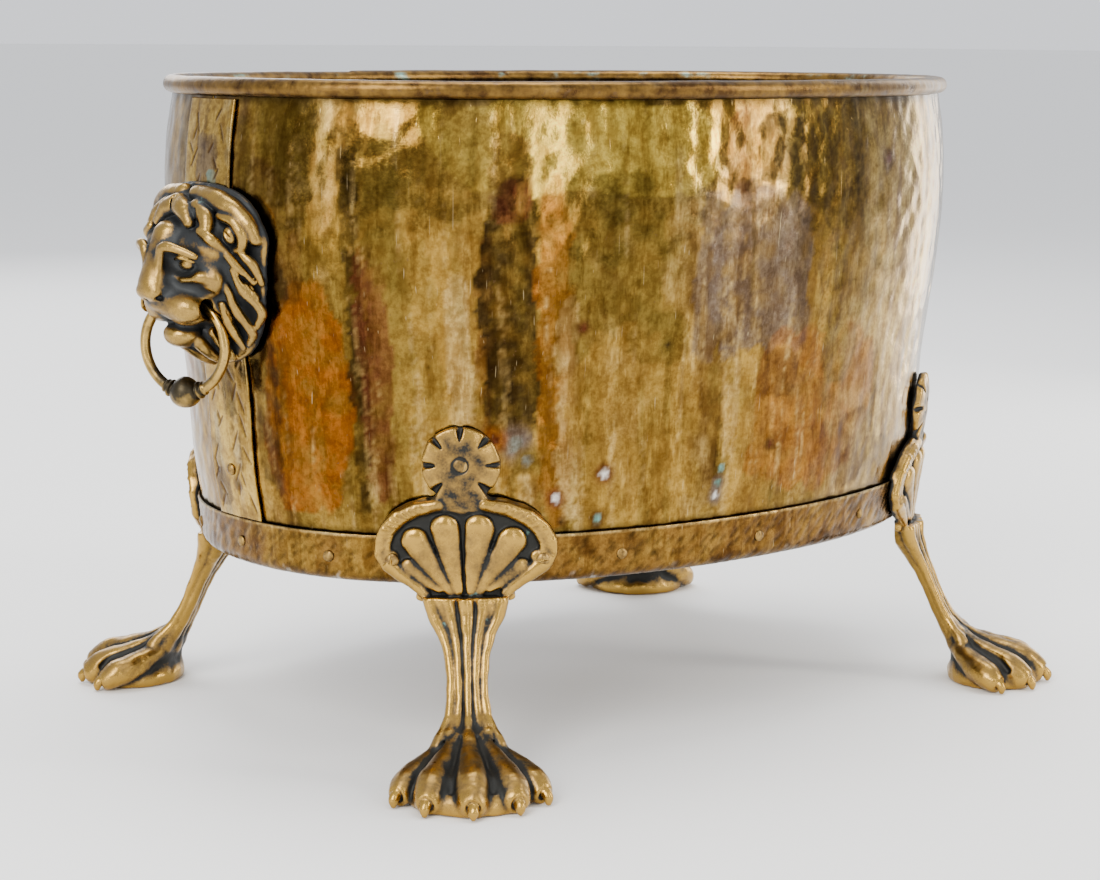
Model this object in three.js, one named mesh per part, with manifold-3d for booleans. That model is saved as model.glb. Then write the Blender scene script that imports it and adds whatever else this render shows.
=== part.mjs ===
// Oval brass planter on four lion-paw feet, with a lion mask and drop ring at each end.
// Millimetres, +Z up. The origin is on the floor under the middle of the oval, and +X runs
// along the oval's long axis.

import * as THREE from "three";
import { mergeVertices } from "three/addons/utils/BufferGeometryUtils.js";
import Module from "manifold-3d";

// ---------------------------------------------------------------- driving dimensions

// The oval body. Its outline at the top is a superellipse, scaled along the height.
const HALF_LENGTH = 225;
const HALF_WIDTH = 156.6;
const OVAL_POWER = 2.16;
const BASE_Z = 91;
const WALL_TOP_Z = 321.4;
const BULGE_DEPTHS = [0, 0.08, 0.2, 0.4, 0.6, 0.8, 0.9, 1];
const BULGE_SCALES = [1, 1.0136, 1.0214, 1.0059, 0.9757, 0.9592, 0.9415, 0.9291];
const SHEET = 1.2;
const GAP = 0.3;
// Straight facets lie this much inside the true oval, so pieces fixed inside stand this far off.
const FACET_SAG = 0.8;
const OVAL_SEGMENTS = 48;
// Rivets, screws, nuts and their holes are drawn with this many sides.
const ROUND_SIDES = 6;

// The base pan: a tray whose upturned edge is riveted round the outside of the wall.
const BAND_HEIGHT = 24.3;
const PAN_SHEET = 1.4;
const PAN_CORNER_RADIUS = 6;
const WALL_BOTTOM_Z = BASE_Z + PAN_CORNER_RADIUS + 1;
const BAND_TOP_Z = BASE_Z + BAND_HEIGHT;
const BAND_OUTSIDE = GAP + PAN_SHEET;

// The rolled rim: a slit tube over the top edge of the wall, round an iron wire.
const RIM_RADIUS = 4.6;
const RIM_BORE = 3.7;
const RIM_WIRE_RADIUS = 2.5;
const RIM_SLIT = SHEET + 2 * GAP;
const RIM_Z = WALL_TOP_Z + RIM_RADIUS;
const WALL_EDGE_Z = RIM_Z - RIM_WIRE_RADIUS - GAP;
// Everything that follows the wall is faceted at these heights.
const WALL_LEVELS = [145, 190, 235, 280];

// The seam straps at the two ends.
const STRAP_HALF_WIDTH = 19;
const STRAP_OUTSIDE = GAP + SHEET;
const STRAP_RIVET_Z = 140;

// Rivets.
const RIVET_HEAD_RADIUS = 2.9;
const RIVET_SHANK_RADIUS = 1.6;
const BAND_RIVET_Z = 103.5;
const END_RIVET_STEP = 22;
const SIDE_RIVET_STEP = 23;

// The feet: a shell plate and a rosette on the wall, and a leg that ends in a paw.
const LEG_ANGLE = 44.35;
const ROSETTE_Z = 151;
const ROSETTE_RADIUS = 18.4;
const ROSETTE_RIVET_HEAD = 3.5;
const PLATE_FRONT = 6;
const ROSETTE_FRONT = 5;
const LEG_SCREW_OUT = 35;
const LEG_SCREW_Z = 105;
const SCREW_SHANK_RADIUS = 2;
const SCREW_HEAD_RADIUS = 3.5;
const NUT_RADIUS = 4.1;
const NUT_HEIGHT = 3.2;
const HOLE_CLEARANCE = 0.3;

// The lion masks and their rings.
const MASK_Z = 236;
const MASK_PLATE_FRONT = 6;
const MASK_STUD_RISE = 24;
const RING_RADIUS = 22.6;
const RING_WIRE_RADIUS = 2.6;
const RING_PIVOT_X = 243;
const RING_PIVOT_Z = 225.4;
const RING_YAW = 25;
const KNOP_RADIUS = 7.6;

// ---------------------------------------------------------------- materials

function metal(color, roughness) {
  return new THREE.MeshStandardMaterial({ color, roughness, metalness: 1 });
}

const wallBrass = metal(0xb99a4e, 0.28);
const panBrass = metal(0x9c7a43, 0.35);
const rimBrass = metal(0x8f6d42, 0.35);
const castBrass = metal(0x94804f, 0.38);
const rivetBrass = metal(0xa68d55, 0.35);
const ironWire = metal(0x4a423b, 0.7);

// ---------------------------------------------------------------- solids and booleans

const wasm = await Module();
wasm.setup();

function weld(geometry) {
  const bare = geometry.clone();
  bare.deleteAttribute("normal");
  bare.deleteAttribute("uv");
  return mergeVertices(bare, 1e-4);
}

// A closed geometry as a manifold solid. Triangles that collapsed in the weld are dropped,
// and all the faces are turned over if they point inwards.
function solid(geometry) {
  const welded = weld(geometry);
  const points = welded.attributes.position.array;
  const index = welded.index.array;
  const kept = [];
  let volume = 0;
  for (let i = 0; i < index.length; i += 3) {
    const [a, b, c] = [index[i], index[i + 1], index[i + 2]];
    if (a === b || b === c || c === a) continue;
    kept.push(a, b, c);
    const pa = new THREE.Vector3().fromArray(points, 3 * a);
    const pb = new THREE.Vector3().fromArray(points, 3 * b);
    const pc = new THREE.Vector3().fromArray(points, 3 * c);
    volume += pa.dot(pb.cross(pc));
  }
  if (volume < 0) kept.reverse();
  return new wasm.Manifold(new wasm.Mesh({
    numProp: 3,
    vertProperties: new Float32Array(points),
    triVerts: new Uint32Array(kept),
  }));
}

function geometryOf(body) {
  const mesh = body.getMesh();
  const geometry = new THREE.BufferGeometry();
  geometry.setAttribute("position", new THREE.BufferAttribute(mesh.vertProperties, 3));
  geometry.setIndex(new THREE.BufferAttribute(mesh.triVerts, 1));
  geometry.computeVertexNormals();
  return geometry;
}

function joined(bodies) {
  return bodies.reduce((whole, body) => whole.add(body));
}

function cut(body, cutters) {
  return cutters.reduce((whole, cutter) => whole.subtract(cutter), body);
}

const model = new THREE.Group();

// Adds a piece to the model, without any crumbs that its cuts left.
function addPiece(name, body, material) {
  const bySize = body.decompose().sort((a, b) => b.volume() - a.volume());
  const mesh = new THREE.Mesh(geometryOf(bySize[0]), material);
  mesh.name = name;
  model.add(mesh);
}

// ---------------------------------------------------------------- the oval wall

const radians = THREE.MathUtils.degToRad;
const bulge = new THREE.CubicInterpolant(BULGE_DEPTHS, BULGE_SCALES, 1);

function wallScale(z) {
  const depth = (WALL_TOP_Z - z) / (WALL_TOP_Z - BASE_Z);
  return bulge.evaluate(THREE.MathUtils.clamp(depth, 0, 1))[0];
}

// A point on the wall's outside, moved outwards by offset. Angles are in degrees.
function wallPoint(angle, z, offset) {
  const c = Math.cos(radians(angle));
  const s = Math.sin(radians(angle));
  const power = Math.abs(c) ** OVAL_POWER + Math.abs(s) ** OVAL_POWER;
  const stretch = power ** (-1 / OVAL_POWER);
  const scale = wallScale(z);
  return new THREE.Vector3(
    stretch * (HALF_LENGTH * scale + offset) * c,
    stretch * (HALF_WIDTH * scale + offset) * s,
    z,
  );
}

// How far the wall runs, in millimetres, for one degree.
function wallRate(angle, z) {
  return wallPoint(angle - 0.5, z, 0).distanceTo(wallPoint(angle + 0.5, z, 0));
}

function wallNormal(angle, z) {
  const along = wallPoint(angle + 1, z, 0).sub(wallPoint(angle - 1, z, 0));
  const up = wallPoint(angle, z + 2, 0).sub(wallPoint(angle, z - 2, 0));
  return along.cross(up).normalize();
}

function anglesBetween(first, last) {
  const step = 360 / OVAL_SEGMENTS;
  const angles = [first];
  for (let angle = Math.ceil(first / step) * step; angle < last - 0.01; angle += step) {
    if (angle > first + 0.01) angles.push(angle);
  }
  angles.push(last);
  return angles;
}

const allRound = anglesBetween(0, 360).slice(0, -1);

// Sweeps a closed section round the oval. The section is a list of [offset, z] corners, and an
// offset of null puts the corner on the middle axis. A section swept part of the way round is
// closed with a cap at each end.
function ovalSweep(section, angles) {
  const flat = section.map(([offset, z]) =>
    new THREE.Vector2(offset === null ? 0 : HALF_LENGTH * wallScale(z) + offset, z));
  const corners = THREE.ShapeUtils.isClockWise(flat) ? [...section].reverse() : section;
  const outline = THREE.ShapeUtils.isClockWise(flat) ? [...flat].reverse() : flat;
  const points = [];
  for (const angle of angles) {
    for (const [offset, z] of corners) {
      const point = offset === null ? new THREE.Vector3(0, 0, z) : wallPoint(angle, z, offset);
      points.push(point.x, point.y, point.z);
    }
  }
  const count = corners.length;
  const wholeTurn = angles === allRound;
  const index = [];
  for (let i = 0; i < (wholeTurn ? angles.length : angles.length - 1); i++) {
    const here = i * count;
    const next = ((i + 1) % angles.length) * count;
    for (let j = 0; j < count; j++) {
      const k = (j + 1) % count;
      index.push(here + j, next + k, here + k);
      index.push(here + j, next + j, next + k);
    }
  }
  if (!wholeTurn) {
    const far = (angles.length - 1) * count;
    for (const [a, b, c] of THREE.ShapeUtils.triangulateShape(outline, [])) {
      index.push(a, b, c);
      index.push(far + c, far + b, far + a);
    }
  }
  const geometry = new THREE.BufferGeometry();
  geometry.setAttribute("position", new THREE.Float32BufferAttribute(points, 3));
  geometry.setIndex(index);
  return solid(geometry);
}

function levels(low, high, count) {
  return Array.from({ length: count }, (_, i) => low + ((high - low) * i) / (count - 1));
}

// The section of a sheet that lies on the wall, between two offsets.
function sheetSection(inside, outside, heights) {
  const outer = heights.map((z) => [outside, z]);
  const inner = heights.map((z) => [inside, z]).reverse();
  return [...outer, ...inner];
}

// ---------------------------------------------------------------- placing things on the wall

// Turns a piece that stands on its local Y axis to point straight out of the wall.
function standOnWall(geometry, angle, z, offset) {
  const turn = new THREE.Quaternion().setFromUnitVectors(
    new THREE.Vector3(0, 1, 0),
    wallNormal(angle, z),
  );
  const place = wallPoint(angle, z, 0).addScaledVector(wallNormal(angle, z), offset);
  return geometry.clone().applyQuaternion(turn).translate(place.x, place.y, place.z);
}

// Bends a flat piece onto the wall: local x runs round it, y out of it and z up it.
function wrapOnWall(geometry, angle) {
  const wrapped = weld(geometry);
  const position = wrapped.attributes.position;
  for (let i = 0; i < position.count; i++) {
    const z = position.getZ(i);
    const turned = angle - position.getX(i) / wallRate(angle, z);
    const point = wallPoint(turned, z, position.getY(i));
    position.setXYZ(i, point.x, point.y, point.z);
  }
  return wrapped;
}

// A flat plate drawn in the x-z plane, between two distances from the wall.
function plate(shape, back, front, curveSegments = 6) {
  const settings = { depth: front - back, bevelEnabled: false, curveSegments };
  return new THREE.ExtrudeGeometry(shape, settings).rotateX(Math.PI / 2).translate(0, front, 0);
}

function hole(angle, z, radius) {
  const drill = new THREE.CylinderGeometry(radius, radius, 60, ROUND_SIDES);
  return solid(standOnWall(drill, angle, z, 0));
}

function mirroredShape(halfOutline) {
  const spline = new THREE.SplineCurve(halfOutline.map(([x, z]) => new THREE.Vector2(x, z)));
  const side = spline.getPoints(Math.round(1.5 * halfOutline.length));
  const other = side.slice(1, -1).reverse().map((p) => new THREE.Vector2(-p.x, p.y));
  return new THREE.Shape([...side, ...other]);
}

// ---------------------------------------------------------------- fasteners

function lathe(profile, segments) {
  return new THREE.LatheGeometry(profile.map(([r, y]) => new THREE.Vector2(r, y)), segments);
}

// A rivet with a domed head outside and a flat upset head inside. grip is how far apart they are.
function rivet(headRadius, grip) {
  const domeHeight = 0.55 * headRadius;
  return lathe([
    [0, -grip - 1],
    [RIVET_SHANK_RADIUS + 0.9, -grip - 1],
    [RIVET_SHANK_RADIUS + 0.9, -grip],
    [RIVET_SHANK_RADIUS, -grip],
    [RIVET_SHANK_RADIUS, 0],
    [headRadius, 0],
    [0.72 * headRadius, 0.72 * domeHeight],
    [0, domeHeight],
  ], ROUND_SIDES);
}

function addRivet(name, angle, z, outside, headRadius) {
  const grip = outside + GAP + SHEET + GAP + FACET_SAG;
  const body = solid(standOnWall(rivet(headRadius, grip), angle, z, outside + GAP));
  addPiece(name, body, rivetBrass);
}

function slottedScrew(length) {
  const body = solid(lathe([
    [0, -length],
    [SCREW_SHANK_RADIUS, -length],
    [SCREW_SHANK_RADIUS, 0],
    [SCREW_HEAD_RADIUS, 0],
    [0.8 * SCREW_HEAD_RADIUS, 1.5],
    [0, 2.3],
  ], ROUND_SIDES));
  const slot = new THREE.BoxGeometry(3 * SCREW_HEAD_RADIUS, 2, 0.9).translate(0, 2.3, 0);
  return geometryOf(body.subtract(solid(slot)));
}

function hexNut() {
  const outside = new THREE.CylinderGeometry(NUT_RADIUS, NUT_RADIUS, NUT_HEIGHT, 6);
  const bore = SCREW_SHANK_RADIUS + GAP;
  const drill = new THREE.CylinderGeometry(bore, bore, 3 * NUT_HEIGHT, ROUND_SIDES);
  return geometryOf(solid(outside).subtract(solid(drill)));
}

function addNut(name, angle, z) {
  const offset = -SHEET - GAP - FACET_SAG - NUT_HEIGHT / 2;
  addPiece(name, solid(standOnWall(hexNut(), angle, z, offset)), rivetBrass);
}

// ---------------------------------------------------------------- where the fasteners go

const bandRivetAngles = [];
for (const [side, middle] of [["right", 0], ["left", 180]]) {
  for (const step of [-1, 0, 1]) {
    bandRivetAngles.push([`band_rivet_${side}_${step + 2}`, middle + step * END_RIVET_STEP]);
  }
}
for (const [side, middle] of [["back", 90], ["front", 270]]) {
  for (const step of [-1, 0, 1]) {
    bandRivetAngles.push([`band_rivet_${side}_${step + 2}`, middle + step * SIDE_RIVET_STEP]);
  }
}

const feet = [
  ["back_right", LEG_ANGLE],
  ["back_left", 180 - LEG_ANGLE],
  ["front_left", 180 + LEG_ANGLE],
  ["front_right", 360 - LEG_ANGLE],
];

function screwAngles(legAngle) {
  const turn = LEG_SCREW_OUT / wallRate(legAngle, LEG_SCREW_Z);
  return [["a", legAngle - turn], ["b", legAngle + turn]];
}

const ends = [["right", 0], ["left", 180]];
const rivetHole = RIVET_SHANK_RADIUS + HOLE_CLEARANCE;
const screwHole = SCREW_SHANK_RADIUS + HOLE_CLEARANCE;

const bandHoles = bandRivetAngles.map(([, angle]) => hole(angle, BAND_RIVET_Z, rivetHole));
const screwHoles = feet.flatMap(([, legAngle]) =>
  screwAngles(legAngle).map(([, angle]) => hole(angle, LEG_SCREW_Z, screwHole)));
const rosetteHoles = feet.map(([, angle]) => hole(angle, ROSETTE_Z, rivetHole));
const strapHoles = ends.map(([, angle]) => hole(angle, STRAP_RIVET_Z, rivetHole));
const studHoles = ends.flatMap(([, angle]) =>
  [-1, 1].map((side) => hole(angle, MASK_Z + side * MASK_STUD_RISE, screwHole)));

// ---------------------------------------------------------------- the body

function addWallSheets() {
  const section = sheetSection(-SHEET, 0, [WALL_BOTTOM_Z, BAND_TOP_Z, ...WALL_LEVELS, WALL_EDGE_Z]);
  const seam = GAP / 2 / wallRate(0, WALL_TOP_Z);
  const holes = [...bandHoles, ...screwHoles, ...rosetteHoles, ...strapHoles, ...studHoles];
  const back = ovalSweep(section, anglesBetween(seam, 180 - seam));
  const front = ovalSweep(section, anglesBetween(180 + seam, 360 - seam));
  addPiece("back_wall_sheet", cut(back, holes), wallBrass);
  addPiece("front_wall_sheet", cut(front, holes), wallBrass);
}

function addSeamStraps() {
  const heights = [BAND_TOP_Z + GAP, ...WALL_LEVELS, WALL_TOP_Z - GAP];
  const section = sheetSection(GAP, STRAP_OUTSIDE, heights);
  const turn = STRAP_HALF_WIDTH / wallRate(0, MASK_Z);
  for (const [side, angle] of ends) {
    const strap = ovalSweep(section, anglesBetween(angle - turn, angle + turn));
    addPiece(`seam_strap_${side}`, cut(strap, [...strapHoles, ...studHoles]), wallBrass);
    addRivet(`strap_rivet_${side}`, angle, STRAP_RIVET_Z, STRAP_OUTSIDE, RIVET_HEAD_RADIUS);
  }
}

// A quarter round from the underside up to the outside, with its centre at radius from both.
function cornerArc(outside, bottom, radius) {
  return [0, 1, 2].map((step) => {
    const turn = radians(45 * step);
    return [outside - radius * (1 - Math.sin(turn)), bottom + radius * (1 - Math.cos(turn))];
  });
}

function addBasePan() {
  const outer = cornerArc(BAND_OUTSIDE, BASE_Z, PAN_CORNER_RADIUS);
  const inner = cornerArc(GAP, BASE_Z + PAN_SHEET, PAN_CORNER_RADIUS - PAN_SHEET).reverse();
  const section = [
    [null, BASE_Z],
    ...outer,
    [BAND_OUTSIDE, BAND_TOP_Z],
    [GAP, BAND_TOP_Z],
    ...inner,
    [null, BASE_Z + PAN_SHEET],
  ];
  addPiece("base_pan", cut(ovalSweep(section, allRound), [...bandHoles, ...screwHoles]), panBrass);
  for (const [name, angle] of bandRivetAngles) {
    addRivet(name, angle, BAND_RIVET_Z, BAND_OUTSIDE, RIVET_HEAD_RADIUS);
  }
}

function circleSection(radius, corners, firstTurn, lastTurn) {
  return levels(firstTurn, lastTurn, corners).map((turn) => [
    -SHEET / 2 + radius * Math.cos(radians(turn)),
    RIM_Z + radius * Math.sin(radians(turn)),
  ]);
}

function addRim() {
  const outerSlit = THREE.MathUtils.radToDeg(Math.asin(RIM_SLIT / 2 / RIM_RADIUS));
  const innerSlit = THREE.MathUtils.radToDeg(Math.asin(RIM_SLIT / 2 / RIM_BORE));
  const outer = circleSection(RIM_RADIUS, 9, -90 + outerSlit, 270 - outerSlit);
  const inner = circleSection(RIM_BORE, 7, 270 - innerSlit, -90 + innerSlit);
  addPiece("rim_tube", ovalSweep([...outer, ...inner], allRound), rimBrass);
  const wire = circleSection(RIM_WIRE_RADIUS, 7, -90, 270).slice(0, -1);
  addPiece("rim_wire", ovalSweep(wire, allRound), ironWire);
}

// ---------------------------------------------------------------- the feet

// The space the body takes up, with the gap that pieces fixed to it keep.
const bodyEnvelope = ovalSweep([
  [null, BASE_Z - GAP],
  ...cornerArc(BAND_OUTSIDE + GAP, BASE_Z - GAP, PAN_CORNER_RADIUS),
  [BAND_OUTSIDE + GAP, BAND_TOP_Z + GAP],
  [GAP, BAND_TOP_Z + GAP],
  ...WALL_LEVELS.map((z) => [GAP, z]),
  [null, WALL_LEVELS.at(-1)],
], allRound);

// One side of the shell plate, from its top middle to its bottom middle.
const SHELL_HALF_OUTLINE = [
  [0, 135], [15, 134], [31, 126], [42, 110], [38, 96], [25, 86], [0, 84],
];

// The leg's stations, from the plate down to the paw: how far out, how high, half the width and
// half the thickness.
const LEG_STATIONS = [
  [4, 100, 20, 4],
  [7, 84, 22, 6],
  [12, 68, 17, 6.5],
  [20, 46, 11, 6],
  [32, 26, 12, 8],
  [46, 13, 20, 11],
  [60, 9, 27, 11],
  [72, 7, 26, 8],
  [78, 6, 18, 5],
];

// Toe tips across the paw: how far to the side and how far out.
const TOES = [[0, 77], [15, 73], [-15, 73], [28, 59], [-28, 59]];
const TOE_LENGTH = 10;
const TOE_RADIUS = 7;
const TOE_HEIGHT = 6.5;

// A loft along stations in the y-z plane, with an oval section square to its path.
function loft(stations, sides) {
  const path = new THREE.CatmullRomCurve3(stations.map(([y, z]) => new THREE.Vector3(0, y, z)));
  const points = [];
  for (const [i, [y, z, halfWidth, halfDepth]] of stations.entries()) {
    const along = path.getTangent(i / (stations.length - 1));
    const across = new THREE.Vector3(0, -along.z, along.y);
    for (let j = 0; j < sides; j++) {
      const turn = (2 * Math.PI * (j + 0.5)) / sides;
      const depth = halfDepth * Math.sin(turn);
      points.push(halfWidth * Math.cos(turn), y + depth * across.y, z + depth * across.z);
    }
  }
  const index = [];
  for (let i = 0; i < stations.length - 1; i++) {
    for (let j = 0; j < sides; j++) {
      const [a, b] = [i * sides + j, i * sides + ((j + 1) % sides)];
      index.push(a, b, b + sides);
      index.push(a, b + sides, a + sides);
    }
  }
  const last = (stations.length - 1) * sides;
  for (let j = 1; j < sides - 1; j++) {
    index.push(0, j + 1, j);
    index.push(last, last + j, last + j + 1);
  }
  const geometry = new THREE.BufferGeometry();
  geometry.setAttribute("position", new THREE.Float32BufferAttribute(points, 3));
  geometry.setIndex(index);
  return geometry;
}

// Moves a piece drawn with y out of the wall and z up to its place at one angle of the base.
function placeAtBase(geometry, angle) {
  const foot = wallPoint(angle, BASE_Z, 0);
  const normal = wallNormal(angle, BASE_Z);
  const facing = Math.atan2(normal.y, normal.x) - Math.PI / 2;
  return geometry.clone().rotateZ(facing).translate(foot.x, foot.y, 0);
}

function legCasting(angle) {
  const shell = plate(mirroredShape(SHELL_HALF_OUTLINE), -6, PLATE_FRONT);
  const disc = new THREE.Shape().absarc(0, ROSETTE_Z, ROSETTE_RADIUS, 0, 2 * Math.PI);
  const rosette = plate(disc, -6, ROSETTE_FRONT);
  const parts = [
    solid(wrapOnWall(shell, angle)),
    solid(wrapOnWall(rosette, angle)),
    solid(placeAtBase(loft(LEG_STATIONS, 8), angle)),
  ];
  for (const [side, out] of TOES) {
    const toe = new THREE.SphereGeometry(1, 7, 4)
      .rotateX(Math.PI / 2)
      .scale(TOE_RADIUS, TOE_LENGTH, TOE_HEIGHT)
      .rotateZ(radians(-side))
      .translate(side, out, TOE_HEIGHT - 0.8);
    parts.push(solid(placeAtBase(toe, angle)));
  }
  const underFloor = new THREE.BoxGeometry(900, 900, 60).translate(0, 0, -30);
  return cut(joined(parts), [bodyEnvelope, solid(underFloor), ...screwHoles, ...rosetteHoles]);
}

function addFeet() {
  for (const [corner, angle] of feet) {
    addPiece(`leg_${corner}`, legCasting(angle), castBrass);
    addRivet(`rosette_rivet_${corner}`, angle, ROSETTE_Z, ROSETTE_FRONT, ROSETTE_RIVET_HEAD);
    for (const [letter, screwAngle] of screwAngles(angle)) {
      const length = PLATE_FRONT + SHEET + NUT_HEIGHT + 3;
      const screw = standOnWall(slottedScrew(length), screwAngle, LEG_SCREW_Z, PLATE_FRONT + GAP);
      addPiece(`leg_screw_${corner}_${letter}`, solid(screw), rivetBrass);
      addNut(`leg_nut_${corner}_${letter}`, screwAngle, LEG_SCREW_Z);
    }
  }
}

// ---------------------------------------------------------------- the lion masks and rings

// One side of the mask's backplate, from the crown to the tip of the beard.
const MASK_HALF_OUTLINE = [
  [0, 281], [22, 278], [38, 268], [43, 253], [40, 233], [35, 213], [20, 198], [0, 193],
];

// The lion's head as rounded lumps: half sizes across, out and up, and the middle of each.
const MASK_LUMPS = [
  { half: [30, 18, 34], middle: [0, 4, 244] },
  { half: [17, 17, 12], middle: [0, 17, 229] },
  { half: [20, 9, 8], middle: [0, 14, 256] },
  { half: [11, 7, 9], middle: [0, 4, 203] },
];

function blob({ half, middle }) {
  return new THREE.SphereGeometry(1, 10, 6)
    .rotateX(Math.PI / 2)
    .scale(...half)
    .translate(...middle);
}

// The ring's way through the jaws: a hole that widens towards both cheeks, so that the curved
// ring can swing in it.
function ringTunnel() {
  const reach = 20;
  const sides = 10;
  const profile = levels(-reach, reach, 9).map((y) => {
    const drop = RING_RADIUS - Math.sqrt(RING_RADIUS ** 2 - y ** 2);
    return [(drop + RING_WIRE_RADIUS + 0.7) / Math.cos(Math.PI / sides), y];
  });
  return lathe([[0, -reach], ...profile, [0, reach]], sides);
}

// The ring and its knop, hanging from a pivot at the origin, in the y-z plane.
function ring() {
  const hoop = new THREE.TorusGeometry(RING_RADIUS, RING_WIRE_RADIUS, 6, 20)
    .rotateY(Math.PI / 2)
    .translate(0, 0, -RING_RADIUS);
  const knop = lathe([
    [0, -KNOP_RADIUS - 2],
    [4.2, -KNOP_RADIUS - 2],
    [4.2, -KNOP_RADIUS + 0.8],
    [KNOP_RADIUS * 0.87, -KNOP_RADIUS / 2],
    [KNOP_RADIUS, 0],
    [KNOP_RADIUS * 0.87, KNOP_RADIUS / 2],
    [4.2, KNOP_RADIUS - 0.8],
    [4.2, KNOP_RADIUS + 2],
    [0, KNOP_RADIUS + 2],
  ], 10).translate(0, 0, -2 * RING_RADIUS);
  return geometryOf(solid(hoop).add(solid(knop)));
}

// Turns a piece drawn at the left end's pivot into place, with the ring's yaw, at either end.
function placeAtPivot(geometry, endAngle) {
  return geometry.clone()
    .rotateZ(radians(RING_YAW))
    .translate(-RING_PIVOT_X, 0, RING_PIVOT_Z)
    .rotateZ(radians(endAngle - 180));
}

function studs(angle) {
  const length = STRAP_OUTSIDE + SHEET + NUT_HEIGHT + 5;
  const radius = SCREW_SHANK_RADIUS;
  const stud = new THREE.CylinderGeometry(radius, radius, length, ROUND_SIDES);
  return [-1, 1].map((side) =>
    solid(standOnWall(stud, angle, MASK_Z + side * MASK_STUD_RISE, 5 - length / 2)));
}

function lionMask(angle) {
  const outline = mirroredShape(MASK_HALF_OUTLINE);
  const back = solid(wrapOnWall(plate(outline, -4, MASK_PLATE_FRONT), angle));
  const lumps = MASK_LUMPS.map((lump) => solid(wrapOnWall(blob(lump), angle)));
  const seatSection = sheetSection(-40, STRAP_OUTSIDE + GAP, [...WALL_LEVELS, WALL_TOP_Z]);
  const seat = ovalSweep(seatSection, anglesBetween(angle - 36, angle + 36));
  const tunnel = solid(placeAtPivot(ringTunnel(), angle));
  return joined([cut(joined([back, ...lumps]), [seat, tunnel]), ...studs(angle)]);
}

function addMasks() {
  for (const [side, angle] of ends) {
    addPiece(`lion_mask_${side}`, lionMask(angle), castBrass);
    addPiece(`ring_handle_${side}`, solid(placeAtPivot(ring(), angle)), castBrass);
    for (const [level, rise] of [["lower", -1], ["upper", 1]]) {
      addNut(`mask_nut_${side}_${level}`, angle, MASK_Z + rise * MASK_STUD_RISE);
    }
  }
}

addWallSheets();
addSeamStraps();
addBasePan();
addRim();
addFeet();
addMasks();

export default model;
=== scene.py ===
"""The looks of an oval brass planter with lion masks, drop rings and paw feet.

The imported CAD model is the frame. Every visible piece is remade here as a fine mesh in the same
place: sheet metal with its hammer marks, and castings built up as clay and skinned.
Lengths in the modelling code are in millimetres, and angles round the oval are in degrees.
"""

import math

import bpy
import numpy as np
from mathutils import Matrix, Vector


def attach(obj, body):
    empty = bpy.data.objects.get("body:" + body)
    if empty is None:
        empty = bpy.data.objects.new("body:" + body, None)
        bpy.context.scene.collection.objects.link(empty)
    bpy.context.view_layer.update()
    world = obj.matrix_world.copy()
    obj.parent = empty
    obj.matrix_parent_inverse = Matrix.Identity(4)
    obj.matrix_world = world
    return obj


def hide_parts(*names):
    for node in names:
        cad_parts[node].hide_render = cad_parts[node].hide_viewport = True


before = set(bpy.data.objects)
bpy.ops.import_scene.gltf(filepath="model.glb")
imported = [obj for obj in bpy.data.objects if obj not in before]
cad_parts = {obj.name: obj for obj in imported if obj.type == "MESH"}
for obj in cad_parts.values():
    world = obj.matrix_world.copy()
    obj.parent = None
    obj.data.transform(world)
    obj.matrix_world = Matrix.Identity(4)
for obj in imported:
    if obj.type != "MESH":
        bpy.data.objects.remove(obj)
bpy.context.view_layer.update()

MM = 0.001

# ---------------- sizes shared with the CAD

HALF_LENGTH = 225.0
HALF_WIDTH = 156.6
OVAL_POWER = 2.16
BASE_Z = 91.0
WALL_TOP_Z = 321.4
BULGE_DEPTHS = np.array([0, 0.08, 0.2, 0.4, 0.6, 0.8, 0.9, 1])
BULGE_SCALES = np.array([1, 1.0136, 1.0214, 1.0059, 0.9757, 0.9592, 0.9415, 0.9291])
SHEET = 1.2
GAP = 0.3
SEAM_GAP = 0.15
WALL_SPACING = 1.9
WALL_ROWS = 119
BAND_TOP_Z = BASE_Z + 24.3
PAN_SHEET = 1.4
PAN_CORNER = 6.0
PAN_INSIDE = 0.35
PAN_RINGS = 20
PAN_PATTERN_SHIFT = 900
BAND_OUTSIDE = GAP + PAN_SHEET
RIM_RADIUS = 4.6
RIM_SHEET = 0.9
LAP_ANGLE = 99.0
RIM_Z = WALL_TOP_Z + RIM_RADIUS
STRAP_OUTSIDE = GAP + SHEET
STRAP_HALF_WIDTH = 19.0
STRAP_SPACING = 0.8
STRAP_ROW_STEP = 0.85
STRAP_RIVET_Z = 140.0
BAND_RIVET_Z = 103.5
END_RIVET_STEP = 22
SIDE_RIVET_STEP = 23
LEG_ANGLE = 44.35
ROSETTE_Z = 151.0
LEG_SCREW_OUT = 35.0
LEG_SCREW_Z = 105.0
PLATE_FRONT = 6.0
ROSETTE_FRONT = 5.0
MASK_Z = 236.0
MASK_STUD_RISE = 24.0
RING_RADIUS = 22.6
RING_WIRE = 2.6
RING_PIVOT_X = 243.0
RING_PIVOT_Z = 225.4
RING_YAW = 25.0
RING_SWING = (-8, 80)
KNOP_RADIUS = 7.6
SCREW_HEAD = 3.6
NUT_RADIUS = 4.1
NUT_HEIGHT = 3.2

ENDS = {"right": 0.0, "left": 180.0}
FEET = {
    "back_right": LEG_ANGLE,
    "back_left": 180 - LEG_ANGLE,
    "front_left": 180 + LEG_ANGLE,
    "front_right": 360 - LEG_ANGLE,
}

# ---------------- camera, floor and lights

CAMERA_PLACE = Vector((-0.8826, -1.0329, 0.3516))
CAMERA_AZIMUTH = math.radians(40.08)
CAMERA_PITCH = math.radians(9.14)
CAMERA_ROLL = math.radians(0.44)
CAMERA_LENS = 82.5


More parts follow.
